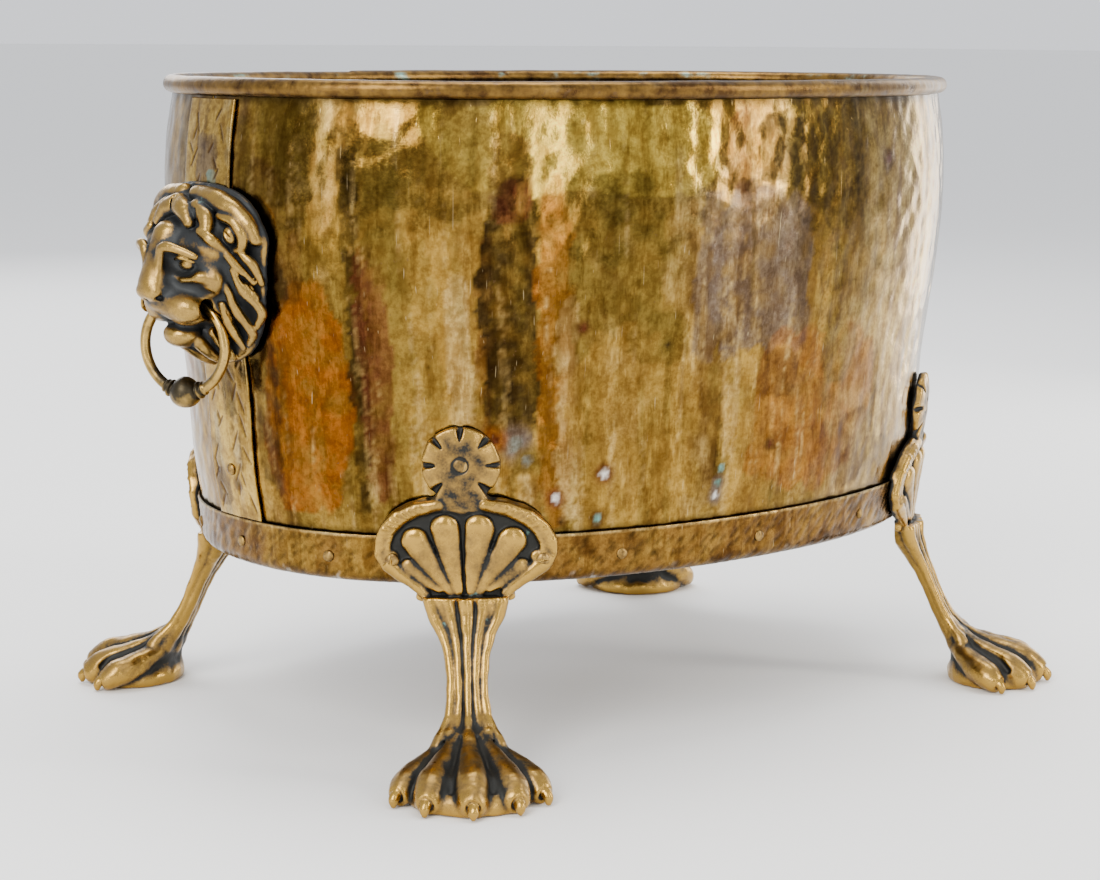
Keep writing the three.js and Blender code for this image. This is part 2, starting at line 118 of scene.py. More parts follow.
def add_camera():
    camera = bpy.data.objects.new("camera", bpy.data.cameras.new("camera"))
    bpy.context.collection.objects.link(camera)
    camera.data.lens = CAMERA_LENS
    camera.data.sensor_width = 36.0
    turn = (
        Matrix.Rotation(-CAMERA_AZIMUTH, 4, "Z")
        @ Matrix.Rotation(math.pi / 2 - CAMERA_PITCH, 4, "X")
        @ Matrix.Rotation(CAMERA_ROLL, 4, "Z")
    )
    camera.matrix_world = Matrix.Translation(CAMERA_PLACE) @ turn
    bpy.context.scene.camera = camera


WARM = (1, 0.97, 0.9)
WHITE = (1, 1, 1)
POT_MIDDLE = (0, 0, 0.2)
# Each soft light: its name, place, what it points at, width, height, power and tint.
LIGHTS = [
    ("key", (-1.9, -1.0, 1.5), POT_MIDDLE, 0.9, 1.6, 56, (1, 0.97, 0.92)),
    ("side", (1.3, -1.7, 0.9), POT_MIDDLE, 0.35, 1.6, 26, (1, 0.96, 0.88)),
    ("top", (0.2, 0.2, 2.2), POT_MIDDLE, 1.4, 1.0, 40, WHITE),
    ("back", (0.6, 2.2, 1.2), POT_MIDDLE, 1.4, 1.0, 24, WHITE),
    ("right_strip", (1.35, 0.1, 0.6), (0, 0, 0.6), 0.55, 1.2, 9, WARM),
    ("front_strip", (-0.30, -1.5, 0.6), (-0.05, 0, 0.6), 0.16, 1.2, 4, WARM),
    ("left_strip", (-1.6, -0.25, 0.6), (0, 0, 0.6), 0.25, 1.2, 5, WARM),
]
SKY = (0.93, 0.95, 1.0, 1)
SKY_STRENGTH = 1.2


def add_studio():
    world = bpy.data.worlds.new("studio")
    bpy.context.scene.world = world
    world.use_nodes = True
    background = world.node_tree.nodes["Background"]
    background.inputs["Color"].default_value = SKY
    background.inputs["Strength"].default_value = SKY_STRENGTH
    for name, place, target, width, height, power, tint in LIGHTS:
        light = bpy.data.lights.new(name, "AREA")
        light.shape = "RECTANGLE"
        light.size = width
        light.size_y = height
        light.energy = power
        light.color = tint
        thing = bpy.data.objects.new(name, light)
        bpy.context.collection.objects.link(thing)
        thing.visible_camera = False
        thing.location = place
        aim = Vector(target) - Vector(place)
        thing.rotation_euler = aim.to_track_quat("-Z", "Y").to_euler()


def add_floor():
    size = 60.0
    mesh = bpy.data.meshes.new("floor")
    corners = [(-size, -size, 0), (size, -size, 0), (size, size, 0), (-size, size, 0)]
    mesh.from_pydata(corners, [], [(0, 1, 2, 3)])
    floor = bpy.data.objects.new("floor", mesh)
    bpy.context.collection.objects.link(floor)
    material = bpy.data.materials.new("pale_floor")
    material.use_nodes = True
    shader = material.node_tree.nodes["Principled BSDF"]
    shader.inputs["Base Color"].default_value = (0.86, 0.86, 0.85, 1)
    shader.inputs["Roughness"].default_value = 0.7
    mesh.materials.append(material)


# ---------------- the oval wall


def wall_scale(z):
    """How much the outline is scaled at a height: a smooth curve through the bulge points."""
    depth = np.clip((WALL_TOP_Z - np.asarray(z, float)) / (WALL_TOP_Z - BASE_Z), 0, 1)
    slopes = np.gradient(BULGE_SCALES, BULGE_DEPTHS)
    i = np.clip(np.searchsorted(BULGE_DEPTHS, depth, side="right") - 1, 0, len(BULGE_DEPTHS) - 2)
    span = BULGE_DEPTHS[i + 1] - BULGE_DEPTHS[i]
    t = (depth - BULGE_DEPTHS[i]) / span
    start, end = BULGE_SCALES[i], BULGE_SCALES[i + 1]
    return (
        (2 * t**3 - 3 * t**2 + 1) * start
        + (t**3 - 2 * t**2 + t) * span * slopes[i]
        + (3 * t**2 - 2 * t**3) * end
        + (t**3 - t**2) * span * slopes[i + 1]
    )


def wall_point(angle, z, offset):
    """Points on the wall's outside, moved outwards by offset, in millimetres."""
    angle, z, offset = np.broadcast_arrays(
        np.asarray(angle, float), np.asarray(z, float), np.asarray(offset, float)
    )
    c, s = np.cos(np.radians(angle)), np.sin(np.radians(angle))
    stretch = (np.abs(c) ** OVAL_POWER + np.abs(s) ** OVAL_POWER) ** (-1 / OVAL_POWER)
    scale = wall_scale(z)
    x = stretch * (HALF_LENGTH * scale + offset) * c
    y = stretch * (HALF_WIDTH * scale + offset) * s
    return np.stack([x, y, z], axis=-1)


def wall_rate(angle, z):
    """How far the wall runs, in millimetres, for one degree."""
    step = wall_point(angle + 0.5, z, 0) - wall_point(angle - 0.5, z, 0)
    return np.linalg.norm(step, axis=-1)


def wall_normal(angle, z):
    along = wall_point(angle + 1, z, 0) - wall_point(angle - 1, z, 0)
    up = wall_point(angle, z + 2, 0) - wall_point(angle, z - 2, 0)
    normal = np.cross(along, up)
    return normal / np.linalg.norm(normal, axis=-1, keepdims=True)


ARC_TABLE = np.linspace(0, 360, 1441)
ARC_STEPS = np.linalg.norm(np.diff(wall_point(ARC_TABLE, 220, 0), axis=0), axis=1)
ARC_LENGTHS = np.concatenate([[0], np.cumsum(ARC_STEPS)])
PERIMETER = ARC_LENGTHS[-1]


def arc_of(angle):
    """The distance round the wall from angle 0, in millimetres."""
    turns = np.floor(np.asarray(angle, float) / 360)
    return np.interp(angle - 360 * turns, ARC_TABLE, ARC_LENGTHS) + turns * PERIMETER


def even_angles(first, last, spacing):
    """Angles from first to last whose points are evenly spaced round the wall."""
    low, high = arc_of(first), arc_of(last)
    arcs = np.linspace(low, high, max(2, int(round((high - low) / spacing)) + 1))
    turns = np.floor(arcs / PERIMETER)
    return np.interp(arcs - turns * PERIMETER, ARC_LENGTHS, ARC_TABLE) + 360 * turns


# ---------------- hammer marks and noise


NOISE_ROWS = 400
NOISE_SPAN = 4000
NOISE_LAYERS = 3


def noise_columns(size, wrap_u):
    """How many cells of a size go round a surface that wraps, or span a flat one."""
    return max(4, int(round((wrap_u or NOISE_SPAN) / size)))


def ease(t):
    return t * t * (3 - 2 * t)


def lattice_noise(u, v, size, seed, wrap_u=None):
    """Smooth noise between -1 and 1 on a surface, with bumps about size millimetres across."""
    columns = noise_columns(size, wrap_u)
    rows = NOISE_ROWS
    table = np.random.default_rng(seed).uniform(-1, 1, (columns, rows))
    if wrap_u:
        x = u / wrap_u * columns
    else:
        x = u / size
    y = v / size
    i, j = np.floor(x).astype(int), np.floor(y).astype(int)
    a, b = ease(x - i), ease(y - j)
    p, q = table[i % columns, j % rows], table[(i + 1) % columns, j % rows]
    r, s = table[i % columns, (j + 1) % rows], table[(i + 1) % columns, (j + 1) % rows]
    return (p * (1 - a) + q * a) * (1 - b) + (r * (1 - a) + s * a) * b


def cloud_noise(u, v, size, seed, wrap_u=None):
    """Layers of finer and finer noise, each leaning the other way so that no grid shows."""
    total = np.zeros(np.broadcast(u, v).shape)
    for layer in range(NOISE_LAYERS):
        lean = 0.45 * (-1) ** layer
        total += lattice_noise(u + lean * v, v, size / 2**layer, seed + layer, wrap_u) / 2**layer
    return total / (2 - 2.0 ** (1 - NOISE_LAYERS))


def planished(u, v, spacing, radius, lean, stretch, seed):
    """Shallow bowls where the hammer struck: how far the surface is pushed in, in millimetres.

    Blows are stretched by a factor along a direction that leans by an angle in degrees."""
    c, s = math.cos(math.radians(lean)), math.sin(math.radians(lean))
    columns = noise_columns(spacing, PERIMETER)
    shifts = np.random.default_rng(seed).uniform(0.1, 0.9, (columns, NOISE_ROWS, 2))
    x, y = u * columns / PERIMETER, v / spacing
    i, j = np.floor(x).astype(int), np.floor(y).astype(int)
    nearest = np.full(np.broadcast(u, v).shape, 9.0)
    for di in (-1, 0, 1):
        for dj in (-1, 0, 1):
            shift = shifts[(i + di) % columns, (j + dj) % NOISE_ROWS]
            dx = i + di + shift[..., 0] - x
            dy = j + dj + shift[..., 1] - y
            along = (c * dx + s * dy) / stretch
            across = (c * dy - s * dx) * stretch
            nearest = np.minimum(nearest, along**2 + across**2)
    return -np.maximum(0, (0.75 - np.sqrt(nearest)) * spacing) ** 1.5 / radius


# ---------------- mesh helpers


def new_object(name, points_mm, faces):
    """A mesh object from points in millimetres."""
    mesh = bpy.data.meshes.new(name)
    mesh.from_pydata((np.asarray(points_mm) * MM).tolist(), [], faces)
    mesh.validate()
    mesh.shade_smooth()
    piece = bpy.data.objects.new(name, mesh)
    bpy.context.collection.objects.link(piece)
    return piece


def set_attribute(piece, name, values):
    attribute = piece.data.attributes.new(name, "FLOAT", "POINT")
    attribute.data.foreach_set("value", np.ascontiguousarray(values, np.float32).ravel())


def both_faces(grid):
    """A sheet's outer grid followed by the same grid turned back for its inner face."""
    return np.concatenate([grid, grid[:, ::-1]], axis=1)


def strip_faces(columns, rows, wrap_columns, wrap_rows):
    """Quads of a grid stored column by column."""
    faces = []
    last_column = columns if wrap_columns else columns - 1
    last_row = rows if wrap_rows else rows - 1
    for i in range(last_column):
        here, after = i * rows, ((i + 1) % columns) * rows
        for j in range(last_row):
            k = (j + 1) % rows
            faces.append((here + j, after + j, after + k, here + k))
    return faces


def sheet_object(name, outer, inner):
    """A closed sheet from its outer and inner grids, which have the same shape."""
    columns, rows = outer.shape[:2]
    section = np.concatenate([outer, inner[:, ::-1]], axis=1)
    points = section.reshape(-1, 3)
    faces = strip_faces(columns, 2 * rows, False, True)
    last = (columns - 1) * 2 * rows
    for j in range(rows - 1):
        far = 2 * rows - 1 - j
        faces.append((j, j + 1, far - 1, far))
        faces.append((last + far, last + far - 1, last + j + 1, last + j))
    return new_object(name, points, faces)


def lathe_object(name, profile, segments):
    """A solid of revolution about Y. The profile of (radius, height) runs between axis points."""
    rings = profile[1:-1]
    turn = np.arange(segments) * 2 * math.pi / segments
    points = []
    for radius, height in rings:
        ring = np.stack([radius * np.cos(turn), np.full(segments, height), radius * np.sin(turn)], 1)
        points.append(ring)
    points = np.concatenate(points + [np.array([[0, profile[0][1], 0], [0, profile[-1][1], 0]])])
    faces = strip_faces(len(rings), segments, False, True)
    low, high = len(points) - 2, len(points) - 1
    top = (len(rings) - 1) * segments
    for j in range(segments):
        k = (j + 1) % segments
        faces.append((low, j, k))
        faces.append((high, top + k, top + j))
    return new_object(name, points, faces)


def stand_on_wall(piece, angle, z, offset, spin):
    """Turns a piece drawn about Y to point out of the wall, and bakes its place into its mesh."""
    normal = Vector(wall_normal(angle, z))
    place = Vector(wall_point(angle, z, 0)) + normal * offset
    turn = Vector((0, 1, 0)).rotation_difference(normal).to_matrix().to_4x4()
    spin_turn = Matrix.Rotation(math.radians(spin), 4, "Y")
    piece.data.transform(Matrix.Translation(place * MM) @ turn @ spin_turn)


def finish_piece(piece, material, nodes, body="pot"):
    piece.data.materials.clear()
    piece.data.materials.append(material)
    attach(piece, body)
    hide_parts(*nodes)
    return piece


# ---------------- clay: solids on a grid


FAR = 12.0
CAST_WAVES = 7
FINE_RECESS = 1.6
BROAD_RECESS = 4.0
EVERYWHERE = (slice(None),) * 3


class Clay:
    """Signed distance on a grid of cells, in millimetres: u across, w outwards and z up.

    Only the half with u above zero is shaped. The other half is its mirror image."""

    def __init__(self, width, out, up, cell):
        self.cell = cell
        self.low = np.array([0.0, out[0], up[0]])
        self.axes = [
            np.arange(0, width, cell),
            np.arange(out[0], out[1], cell),
            np.arange(up[0], up[1], cell),
        ]
        self.grid = np.ix_(*self.axes)
        self.field = np.full([len(axis) for axis in self.axes], FAR, np.float32)

    def window(self, low, high, margin):
        """The part of the grid near a box, as slices, and its coordinates."""
        slices, places = [], []
        for axis, start, end in zip(self.axes, low, high):
            part = slice(*np.searchsorted(axis, [start - margin, end + margin]))
            slices.append(part)
            places.append(axis[part].astype(np.float32))
        return tuple(slices), np.ix_(*places)

    def merge(self, distance, blend, carve=False, slices=EVERYWHERE):
        """Adds or carves a shape, rounding the join over a width of blend."""
        distance = distance.astype(np.float32, copy=False)
        here = self.field[slices]
        if carve:
            here = -here
        share = np.clip(0.5 + 0.5 * (distance - here) / blend, 0, 1)
        joined = distance * (1 - share) + here * share - blend * share * (1 - share)
        self.field[slices] = -joined if carve else joined

    def stroke(self, points, radii, blend=1.0, flat=1.0, carve=False):
        """A rounded rod along points. Flat squashes its thickness out of the wall."""
        rod = np.column_stack([np.asarray(points, float), np.asarray(radii, float)])
        if len(rod) in (3, 4, 5):
            rod = smooth_path(rod, 4)
        points, radii = rod[:, :3], rod[:, 3]
        slices, (u, w, z) = self.window(points.min(0), points.max(0), radii.max() + blend + 1)
        nearest = math.inf
        scale = np.array([1, flat, 1])
        steps = zip(points[:-1] * scale, points[1:] * scale, radii[:-1], radii[1:])
        for start, end, first, last in steps:
            along = end - start
            length = max(float(along @ along), 1e-6)
            reach = (u - start[0]) * along[0] + (w * flat - start[1]) * along[1]
            t = np.clip((reach + (z - start[2]) * along[2]) / length, 0, 1)
            du = u - start[0] - t * along[0]
            dw = w * flat - start[1] - t * along[1]
            dz = z - start[2] - t * along[2]
            distance = np.sqrt(du**2 + dw**2 + dz**2) - first - t * (last - first)
            nearest = np.minimum(nearest, distance)
        self.merge(nearest, blend, carve, slices)

    def ball(self, middle, half, blend=1.0, lean=0.0, carve=False):
        """An egg with half sizes across, out and up, leaning in the u-z plane by degrees."""
        middle, half = np.asarray(middle, float), np.asarray(half, float)
        reach = np.array([max(half[0], half[2]), half[1], max(half[0], half[2])])
        slices, (u, w, z) = self.window(middle - reach, middle + reach, blend + 1)
        c, s = math.cos(math.radians(lean)), math.sin(math.radians(lean))
        du, dw, dz = u - middle[0], w - middle[1], z - middle[2]
        du, dz = c * du + s * dz, c * dz - s * du
        size = np.sqrt((du / half[0]) ** 2 + (dw / half[1]) ** 2 + (dz / half[2]) ** 2)
        slope = np.sqrt(
            (du / half[0] ** 2) ** 2 + (dw / half[1] ** 2) ** 2 + (dz / half[2] ** 2) ** 2
        )
        distance = size * (size - 1) / np.maximum(slope, 1e-4)
        self.merge(distance, blend, carve, slices)

    def plate(self, outline, back, front, edge, blend=0.5):
        """A flat plate with rounded edges. The outline is a closed ring of (u, z) points."""
        u, z = np.meshgrid(self.axes[0], self.axes[2], indexing="ij")
        side = outline_distance(outline, u, z)[:, None, :]
        out = np.abs(self.grid[1] - (back + front) / 2) - (front - back) / 2
        distance = rounded_corner(side, out, edge)
        self.merge(distance, blend)

    def trim(self, distance):
        """Cuts away everything where distance is below zero."""
        self.field = np.maximum(self.field, -distance.astype(np.float32))

    def skin(self, roughness, seed, backing=False, hole=None):
        """The surface as points, quads and how deep in a recess each point lies, from 0 to 1.

        Backing marks cells that something else fills, such as the wall behind a casting.
        Hole gives how deep points lie in an opening that isn't the same on both sides."""
        field = np.concatenate([self.field[:0:-1], self.field])
        low = self.low - np.array([self.cell * (len(self.axes[0]) - 1), 0, 0])
        field = field + casting_noise(field.shape, low, self.cell, roughness, seed)
        if hole:
            places = np.indices(field.shape).reshape(3, -1).T * self.cell + low
            field = np.maximum(field, hole(places).reshape(field.shape))
        points, quads = surface_net(field)
        solid = np.maximum(np.clip(0.5 - field / self.cell, 0, 1), backing).astype(np.float32)
        fine, broad = (
            sample_grid(box_blur(solid, int(round(reach / self.cell))), points)
            for reach in (FINE_RECESS, BROAD_RECESS)
        )
        recess = np.clip((0.55 * fine + 0.45 * broad - 0.42) / 0.24, 0, 1)
        return low + points * self.cell, quads, recess


def rounded_corner(side, out, edge):
    """Distance to a slab that both side and out bound, with its edge rounded."""
    a, b = side + edge, out + edge
    distance = np.minimum(np.maximum(a, b), 0) - edge
    return distance + np.sqrt(np.maximum(a, 0) ** 2 + np.maximum(b, 0) ** 2)


def smooth_step(p, q, r, s, t):
    """The point at t on the smooth curve from q to r, which comes from p and goes on to s."""
    bend = (2 * p - 5 * q + 4 * r - s) * t**2 + (3 * q - p - 3 * r + s) * t**3
    return 0.5 * (2 * q + (r - p) * t + bend)


def smooth_path(points, steps):
    """A smooth open path through points, with steps pieces between each pair."""
    ends = [2 * points[0] - points[1], 2 * points[-1] - points[-2]]
    padded = np.vstack([ends[0], points, ends[1]])
    path = []
    for p, q, r, s in zip(padded, padded[1:], padded[2:], padded[3:]):
        path += [smooth_step(p, q, r, s, t) for t in np.arange(steps) / steps]
    path.append(points[-1])
    return np.array(path)


def outline_distance(outline, u, z):
    """Signed distance from a closed outline in a plane: negative inside."""
    outline = np.asarray(outline, float)
    nearest = np.full(u.shape, 1e9)
    inside = np.zeros(u.shape, bool)
    for (u0, z0), (u1, z1) in zip(outline, np.roll(outline, -1, axis=0)):
        du, dz = u1 - u0, z1 - z0
        t = np.clip(((u - u0) * du + (z - z0) * dz) / max(du**2 + dz**2, 1e-9), 0, 1)
        nearest = np.minimum(nearest, (u - u0 - t * du) ** 2 + (z - z0 - t * dz) ** 2)
        crosses = (z0 > z) != (z1 > z)
        side = u0 + (z - z0) * du / (dz if abs(dz) > 1e-9 else 1e-9)
        inside ^= crosses & (u < side)
    return np.where(inside, -1, 1) * np.sqrt(nearest)


def casting_noise(shape, low, cell, depth, seed):
    """Gentle unevenness, as a cast surface has: a few waves in random directions."""
    random = np.random.default_rng(seed)
    total = np.zeros(shape, np.float32)
    for _ in range(CAST_WAVES):
        direction = random.normal(size=3)
        direction *= 2 * math.pi / random.uniform(5, 13) / np.linalg.norm(direction)
        phases = [
            direction[axis] * (low[axis] + cell * np.arange(shape[axis])) for axis in range(3)
        ]
        start = random.uniform(0, 2 * math.pi)
        total += np.sin(
            phases[0][:, None, None] + phases[1][None, :, None] + phases[2][None, None, :] + start
        ).astype(np.float32)
    return total * depth / math.sqrt(CAST_WAVES)


def box_blur(volume, reach):
    for _ in range(2):
        for axis in range(3):
            width = [(0, 0)] * 3
            width[axis] = (reach + 1, reach)
            sums = np.cumsum(np.pad(volume, width, mode="edge"), axis=axis, dtype=np.float32)
            size = volume.shape[axis]
            high = np.take(sums, np.arange(size) + 2 * reach + 1, axis=axis)
            low = np.take(sums, np.arange(size), axis=axis)
            volume = (high - low) / (2 * reach + 1)
    return volume


def sample_grid(volume, points):
    """The volume's value at points given in cells, mixed from the eight corners round each."""
    base = np.clip(np.floor(points).astype(int), 0, np.array(volume.shape) - 2)
    part = points - base
    total = np.zeros(len(points))
    for corner in np.ndindex(2, 2, 2):
        weight = np.prod(np.where(corner, part, 1 - part), axis=1)
        i, j, k = (base + corner).T
        total += weight * volume[i, j, k]
    return total


def surface_net(field):
    """Points, in cells, and quads of the surface where the field is zero."""
    inside = field < 0
    cells = tuple(size - 1 for size in field.shape)
    totals = np.zeros(cells + (3,), np.float32)
    counts = np.zeros(cells, np.float32)
    for axis in range(3):
        others = [other for other in range(3) if other != axis]
        for first in (0, 1):
            for second in (0, 1):
                offset = [0, 0, 0]
                offset[others[0]], offset[others[1]] = first, second
                start = tuple(slice(o, o + n) for o, n in zip(offset, cells))
                offset[axis] = 1
                end = tuple(slice(o, o + n) for o, n in zip(offset, cells))
                crossed = np.nonzero(inside[start] != inside[end])
                low, high = field[start][crossed], field[end][crossed]
                place = np.zeros((len(low), 3), np.float32)
                place[:, others[0]], place[:, others[1]] = first, second
                place[:, axis] = low / (low - high)
                totals[crossed] += place
                counts[crossed] += 1
    used = counts > 0
    number = np.full(cells, -1, np.int64)
    number[used] = np.arange(int(used.sum()))
    points = totals[used] / counts[used][:, None] + np.argwhere(used)
    quads = []
    for axis in range(3):
        b, c = (axis + 1) % 3, (axis + 2) % 3
        here = [slice(1, -1)] * 3
        here[axis] = slice(0, -1)
        after = [slice(1, -1)] * 3
        after[axis] = slice(1, None)
        starts = inside[tuple(here)]
        crossed = np.argwhere(starts != inside[tuple(after)])
        place = crossed + 1
        place[:, axis] -= 1
        step_b, step_c = np.eye(3, dtype=int)[b], np.eye(3, dtype=int)[c]
        corners = [place - step_b - step_c, place - step_c, place, place - step_b]
        quad = np.stack([number[tuple(corner.T)] for corner in corners], axis=1)
        outwards = starts[tuple(crossed.T)]
        quad[~outwards] = quad[~outwards][:, ::-1]
        quads.append(quad)
    return main_shell(points, np.concatenate(quads))


def main_shell(points, quads):
    """The biggest connected shell, without pairs of faces that lie back to back."""
    _, which, counts = np.unique(
        np.sort(quads, axis=1), axis=0, return_inverse=True, return_counts=True
    )
    quads = quads[counts[which.ravel()] == 1]
    label = np.arange(len(points))
    before = None
    while before is None or (label != before).any():
        before = label.copy()
        np.minimum.at(label, quads, label[quads].min(axis=1, keepdims=True))
        label = label[label]
    shells = label[quads[:, 0]]
    quads = quads[shells == np.bincount(shells).argmax()]
    used = np.zeros(len(points), bool)
    used[quads] = True
    return points[used], (np.cumsum(used) - 1)[quads]


def rotated_points(points, angle):
    c, s = math.cos(math.radians(angle)), math.sin(math.radians(angle))
    x, y, z = points.T
    return np.stack([c * x - s * y, s * x + c * y, z], axis=1)


def wrap_on_wall(points, angle):
    """Bends flat points (u round the wall, w out of it, z up) onto the wall."""
    u, w, z = points.T
    return wall_point(angle - u / wall_rate(angle, z), z, w)


def spline_ring(points, steps):
    """A smooth closed ring through points, with steps pieces between each pair."""
    points = np.asarray(points, float)
    before, after, later = (np.roll(points, shift, axis=0) for shift in (1, -1, -2))
    t = (np.arange(steps) / steps)[None, :, None]
    p, q, r, s = (part[:, None, :] for part in (before, points, after, later))
    return smooth_step(p, q, r, s, t).reshape(-1, 2)


def mirrored_ring(half):
    """A closed ring from one side's points, which start and end on the middle line."""
    half = [tuple(point) for point in half]
    return spline_ring(half + [(-u, z) for u, z in half[-2:0:-1]], 5)


# ---------------- materials


class Recipe:
    """A material's nodes, added step by step."""

    def __init__(self, name):
        self.material = bpy.data.materials.new(name)
        self.material.use_nodes = True
        self.tree = self.material.node_tree
        self.shader = self.tree.nodes["Principled BSDF"]
        self.shader.inputs["Metallic"].default_value = 1.0
        self.place = self.tree.nodes.new("ShaderNodeTexCoord").outputs["Object"]

    def node(self, kind, links=None, values=None, **settings):
        node = self.tree.nodes.new(kind)
        for key, value in settings.items():
            setattr(node, key, value)
        for socket, value in (values or {}).items():
            node.inputs[socket].default_value = value
        for socket, source in (links or {}).items():
            self.tree.links.new(source, node.inputs[socket])
        return node

    def stretched(self, stretch, turn=(0, 0, 0)):
        values = {"Scale": stretch, "Rotation": [math.radians(a) for a in turn]}
        return self.node("ShaderNodeMapping", {"Vector": self.place}, values).outputs[0]

    def noise(self, scale, detail=3.0, roughness=0.6, place=None):
        values = {"Scale": scale, "Detail": detail, "Roughness": roughness}
        links = {"Vector": place or self.place}
        return self.node("ShaderNodeTexNoise", links, values).outputs["Fac"]

    def cells(self, scale, smooth):
        values = {"Scale": scale, "Smoothness": smooth}
        links = {"Vector": self.place}
        settings = {"feature": "SMOOTH_F1"}
        return self.node("ShaderNodeTexVoronoi", links, values, **settings).outputs["Distance"]

    def span(self, value, low, high, first=0.0, last=1.0):
        """Stretches the stretch from low to high of a value over first to last."""
        values = {1: low, 2: high, 3: first, 4: last}
        return self.node("ShaderNodeMapRange", {0: value}, values).outputs[0]

    def calculate(self, operation, first, second):
        links, values = {0: first}, {}
        if isinstance(second, (int, float)):
            values[1] = second
        else:
            links[1] = second
        return self.node("ShaderNodeMath", links, values, operation=operation).outputs[0]

    def times(self, first, second):
        return self.calculate("MULTIPLY", first, second)

    def plus(self, first, second):
        return self.calculate("ADD", first, second)

    def spots(self, color, scale, strength, tint, detail=3.0, high=0.68):
        """Small dark marks over a colour."""
        marks = self.span(self.noise(scale, detail, 0.6), 0.6, high)
        return self.mix(self.times(marks, strength), color, tint)

    def mix(self, factor, first, second, blend_type="MIX"):
        links, values = {}, {}
        for socket, value in ((0, factor), (6, first), (7, second)):
            if isinstance(value, (int, float)):
                values[socket] = value
            elif isinstance(value, tuple):
                values[socket] = (*value, 1.0)
            else:
                links[socket] = value
        settings = {"data_type": "RGBA", "blend_type": blend_type, "clamp_factor": True}
        return self.node("ShaderNodeMix", links, values, **settings).outputs[2]

    def attribute(self, name, output="Fac"):
        return self.node("ShaderNodeAttribute", attribute_name=name).outputs[output]

    def bump(self, height, distance, normal=None):
        links = {"Height": height}
        if normal:
            links["Normal"] = normal
        return self.node("ShaderNodeBump", links, {"Distance": distance}).outputs[0]

    def finish(self, **sources):
        for name, source in sources.items():
            self.tree.links.new(source, self.shader.inputs[name.replace("_", " ")])
        return self.material


def scratches(recipe, scale, turn, amount):
    """Thin straight scratches that all lie one way: 1 on a scratch."""
    place = recipe.stretched((1, 1, 0.015), turn)
    lines = recipe.noise(scale, 1.0, 0.5, place)
    return recipe.span(lines, 0.76 - amount, 0.80 - amount)


def painted_sheet(name, rough, stipple_depth, dark_spots):
    """Planished sheet brass whose colours come from the mesh's painted patina,
    which on the walls and straps also holds painted reflections and painted shadows.
    """
    recipe = Recipe(name)
    patina = recipe.attribute("patina", "Color")
    tarnish = recipe.attribute("tarnish")
    cloud = recipe.noise(110, 5.0, 0.65)
    stipple = recipe.noise(420, 4.0, 0.7)
    mottle = recipe.span(recipe.plus(cloud, stipple), 0.82, 1.16, 0.30, 1.0)
    dull = recipe.mix(1.0, patina, (0.36, 0.28, 0.20), "MULTIPLY")
    runs = recipe.noise(75, 4.0, 0.62, recipe.stretched((1, 1, 0.16)))
    fine_runs = recipe.noise(230, 3.0, 0.6, recipe.stretched((1, 1, 0.3)))
    runs = recipe.span(recipe.plus(runs, fine_runs), 0.84, 1.06, 0.42, 1.0)
    color = recipe.mix(recipe.times(mottle, runs), dull, patina)
    # Crisp-edged darker bands down the sheet: partly tarnish, partly painted reflections.
    bands = recipe.noise(46, 5.0, 0.7, recipe.stretched((1, 1, 0.2)))
    bands = recipe.times(recipe.span(bands, 0.50, 0.535), 0.5)
    darker = recipe.mix(1.0, color, (0.42, 0.34, 0.24), "MULTIPLY")
    color = recipe.mix(bands, color, darker)
    pits = recipe.span(recipe.noise(900, 2.0, 0.5), 0.66, 0.74)
    pits = recipe.times(pits, recipe.span(cloud, 0.45, 0.6, 0.0, dark_spots))
    color = recipe.mix(pits, color, (0.10, 0.055, 0.025))
    lines = scratches(recipe, 700, (20, 35, 0), 0.0)
    more_lines = scratches(recipe, 900, (-60, 10, 40), 0.0)
    lines = recipe.calculate("MAXIMUM", lines, more_lines)
    color = recipe.mix(recipe.times(lines, 0.2), color, (0.80, 0.62, 0.32))
    roughness = recipe.span(stipple, 0.3, 0.7, rough - 0.05, rough + 0.07)
    roughness = recipe.plus(roughness, recipe.times(tarnish, 0.3))
    marks = recipe.cells(95, 0.35)
    normal = recipe.bump(marks, stipple_depth * 4)
    normal = recipe.bump(stipple, stipple_depth, normal)
    normal = recipe.bump(lines, -0.00002, normal)
    return recipe.finish(Base_Color=color, Roughness=roughness, Normal=normal)


def cast_brass(name, gold, shadow, grime, verdigris_amount):
    """A casting: rubbed gold on what stands out, and blue-black patina in the recesses."""
    recipe = Recipe(name)
    recess = recipe.attribute("recess")
    cloud = recipe.noise(160, 4.0, 0.6)
    grain = recipe.noise(900, 3.0, 0.6)
    uneven = recipe.span(cloud, 0.3, 0.7, grime - 0.13, grime + 0.13)
    depth = recipe.plus(recess, uneven)
    depth = recipe.plus(depth, recipe.span(grain, 0.35, 0.65, -0.05, 0.05))
    dark = recipe.span(depth, 0.38, 0.60)
    rub = recipe.span(depth, 0.10, 0.40)
    brown = recipe.mix(cloud, (0.15, 0.085, 0.025), (0.28, 0.175, 0.055))
    color = recipe.mix(rub, gold, brown)
    color = recipe.mix(dark, color, shadow)
    green = recipe.span(recipe.noise(55, 4.0, 0.7), 0.66, 0.72)
    green = recipe.times(green, recipe.span(depth, 0.35, 0.55))
    green = recipe.times(green, verdigris_amount)
    color = recipe.mix(green, color, (0.16, 0.33, 0.29))
    roughness = recipe.span(depth, 0.15, 0.65, 0.24, 0.52)
    metallic = recipe.span(dark, 0.0, 1.0, 1.0, 0.75)
    normal = recipe.bump(grain, 0.00005)
    normal = recipe.bump(cloud, 0.0003, normal)
    return recipe.finish(Base_Color=color, Roughness=roughness, Metallic=metallic, Normal=normal)


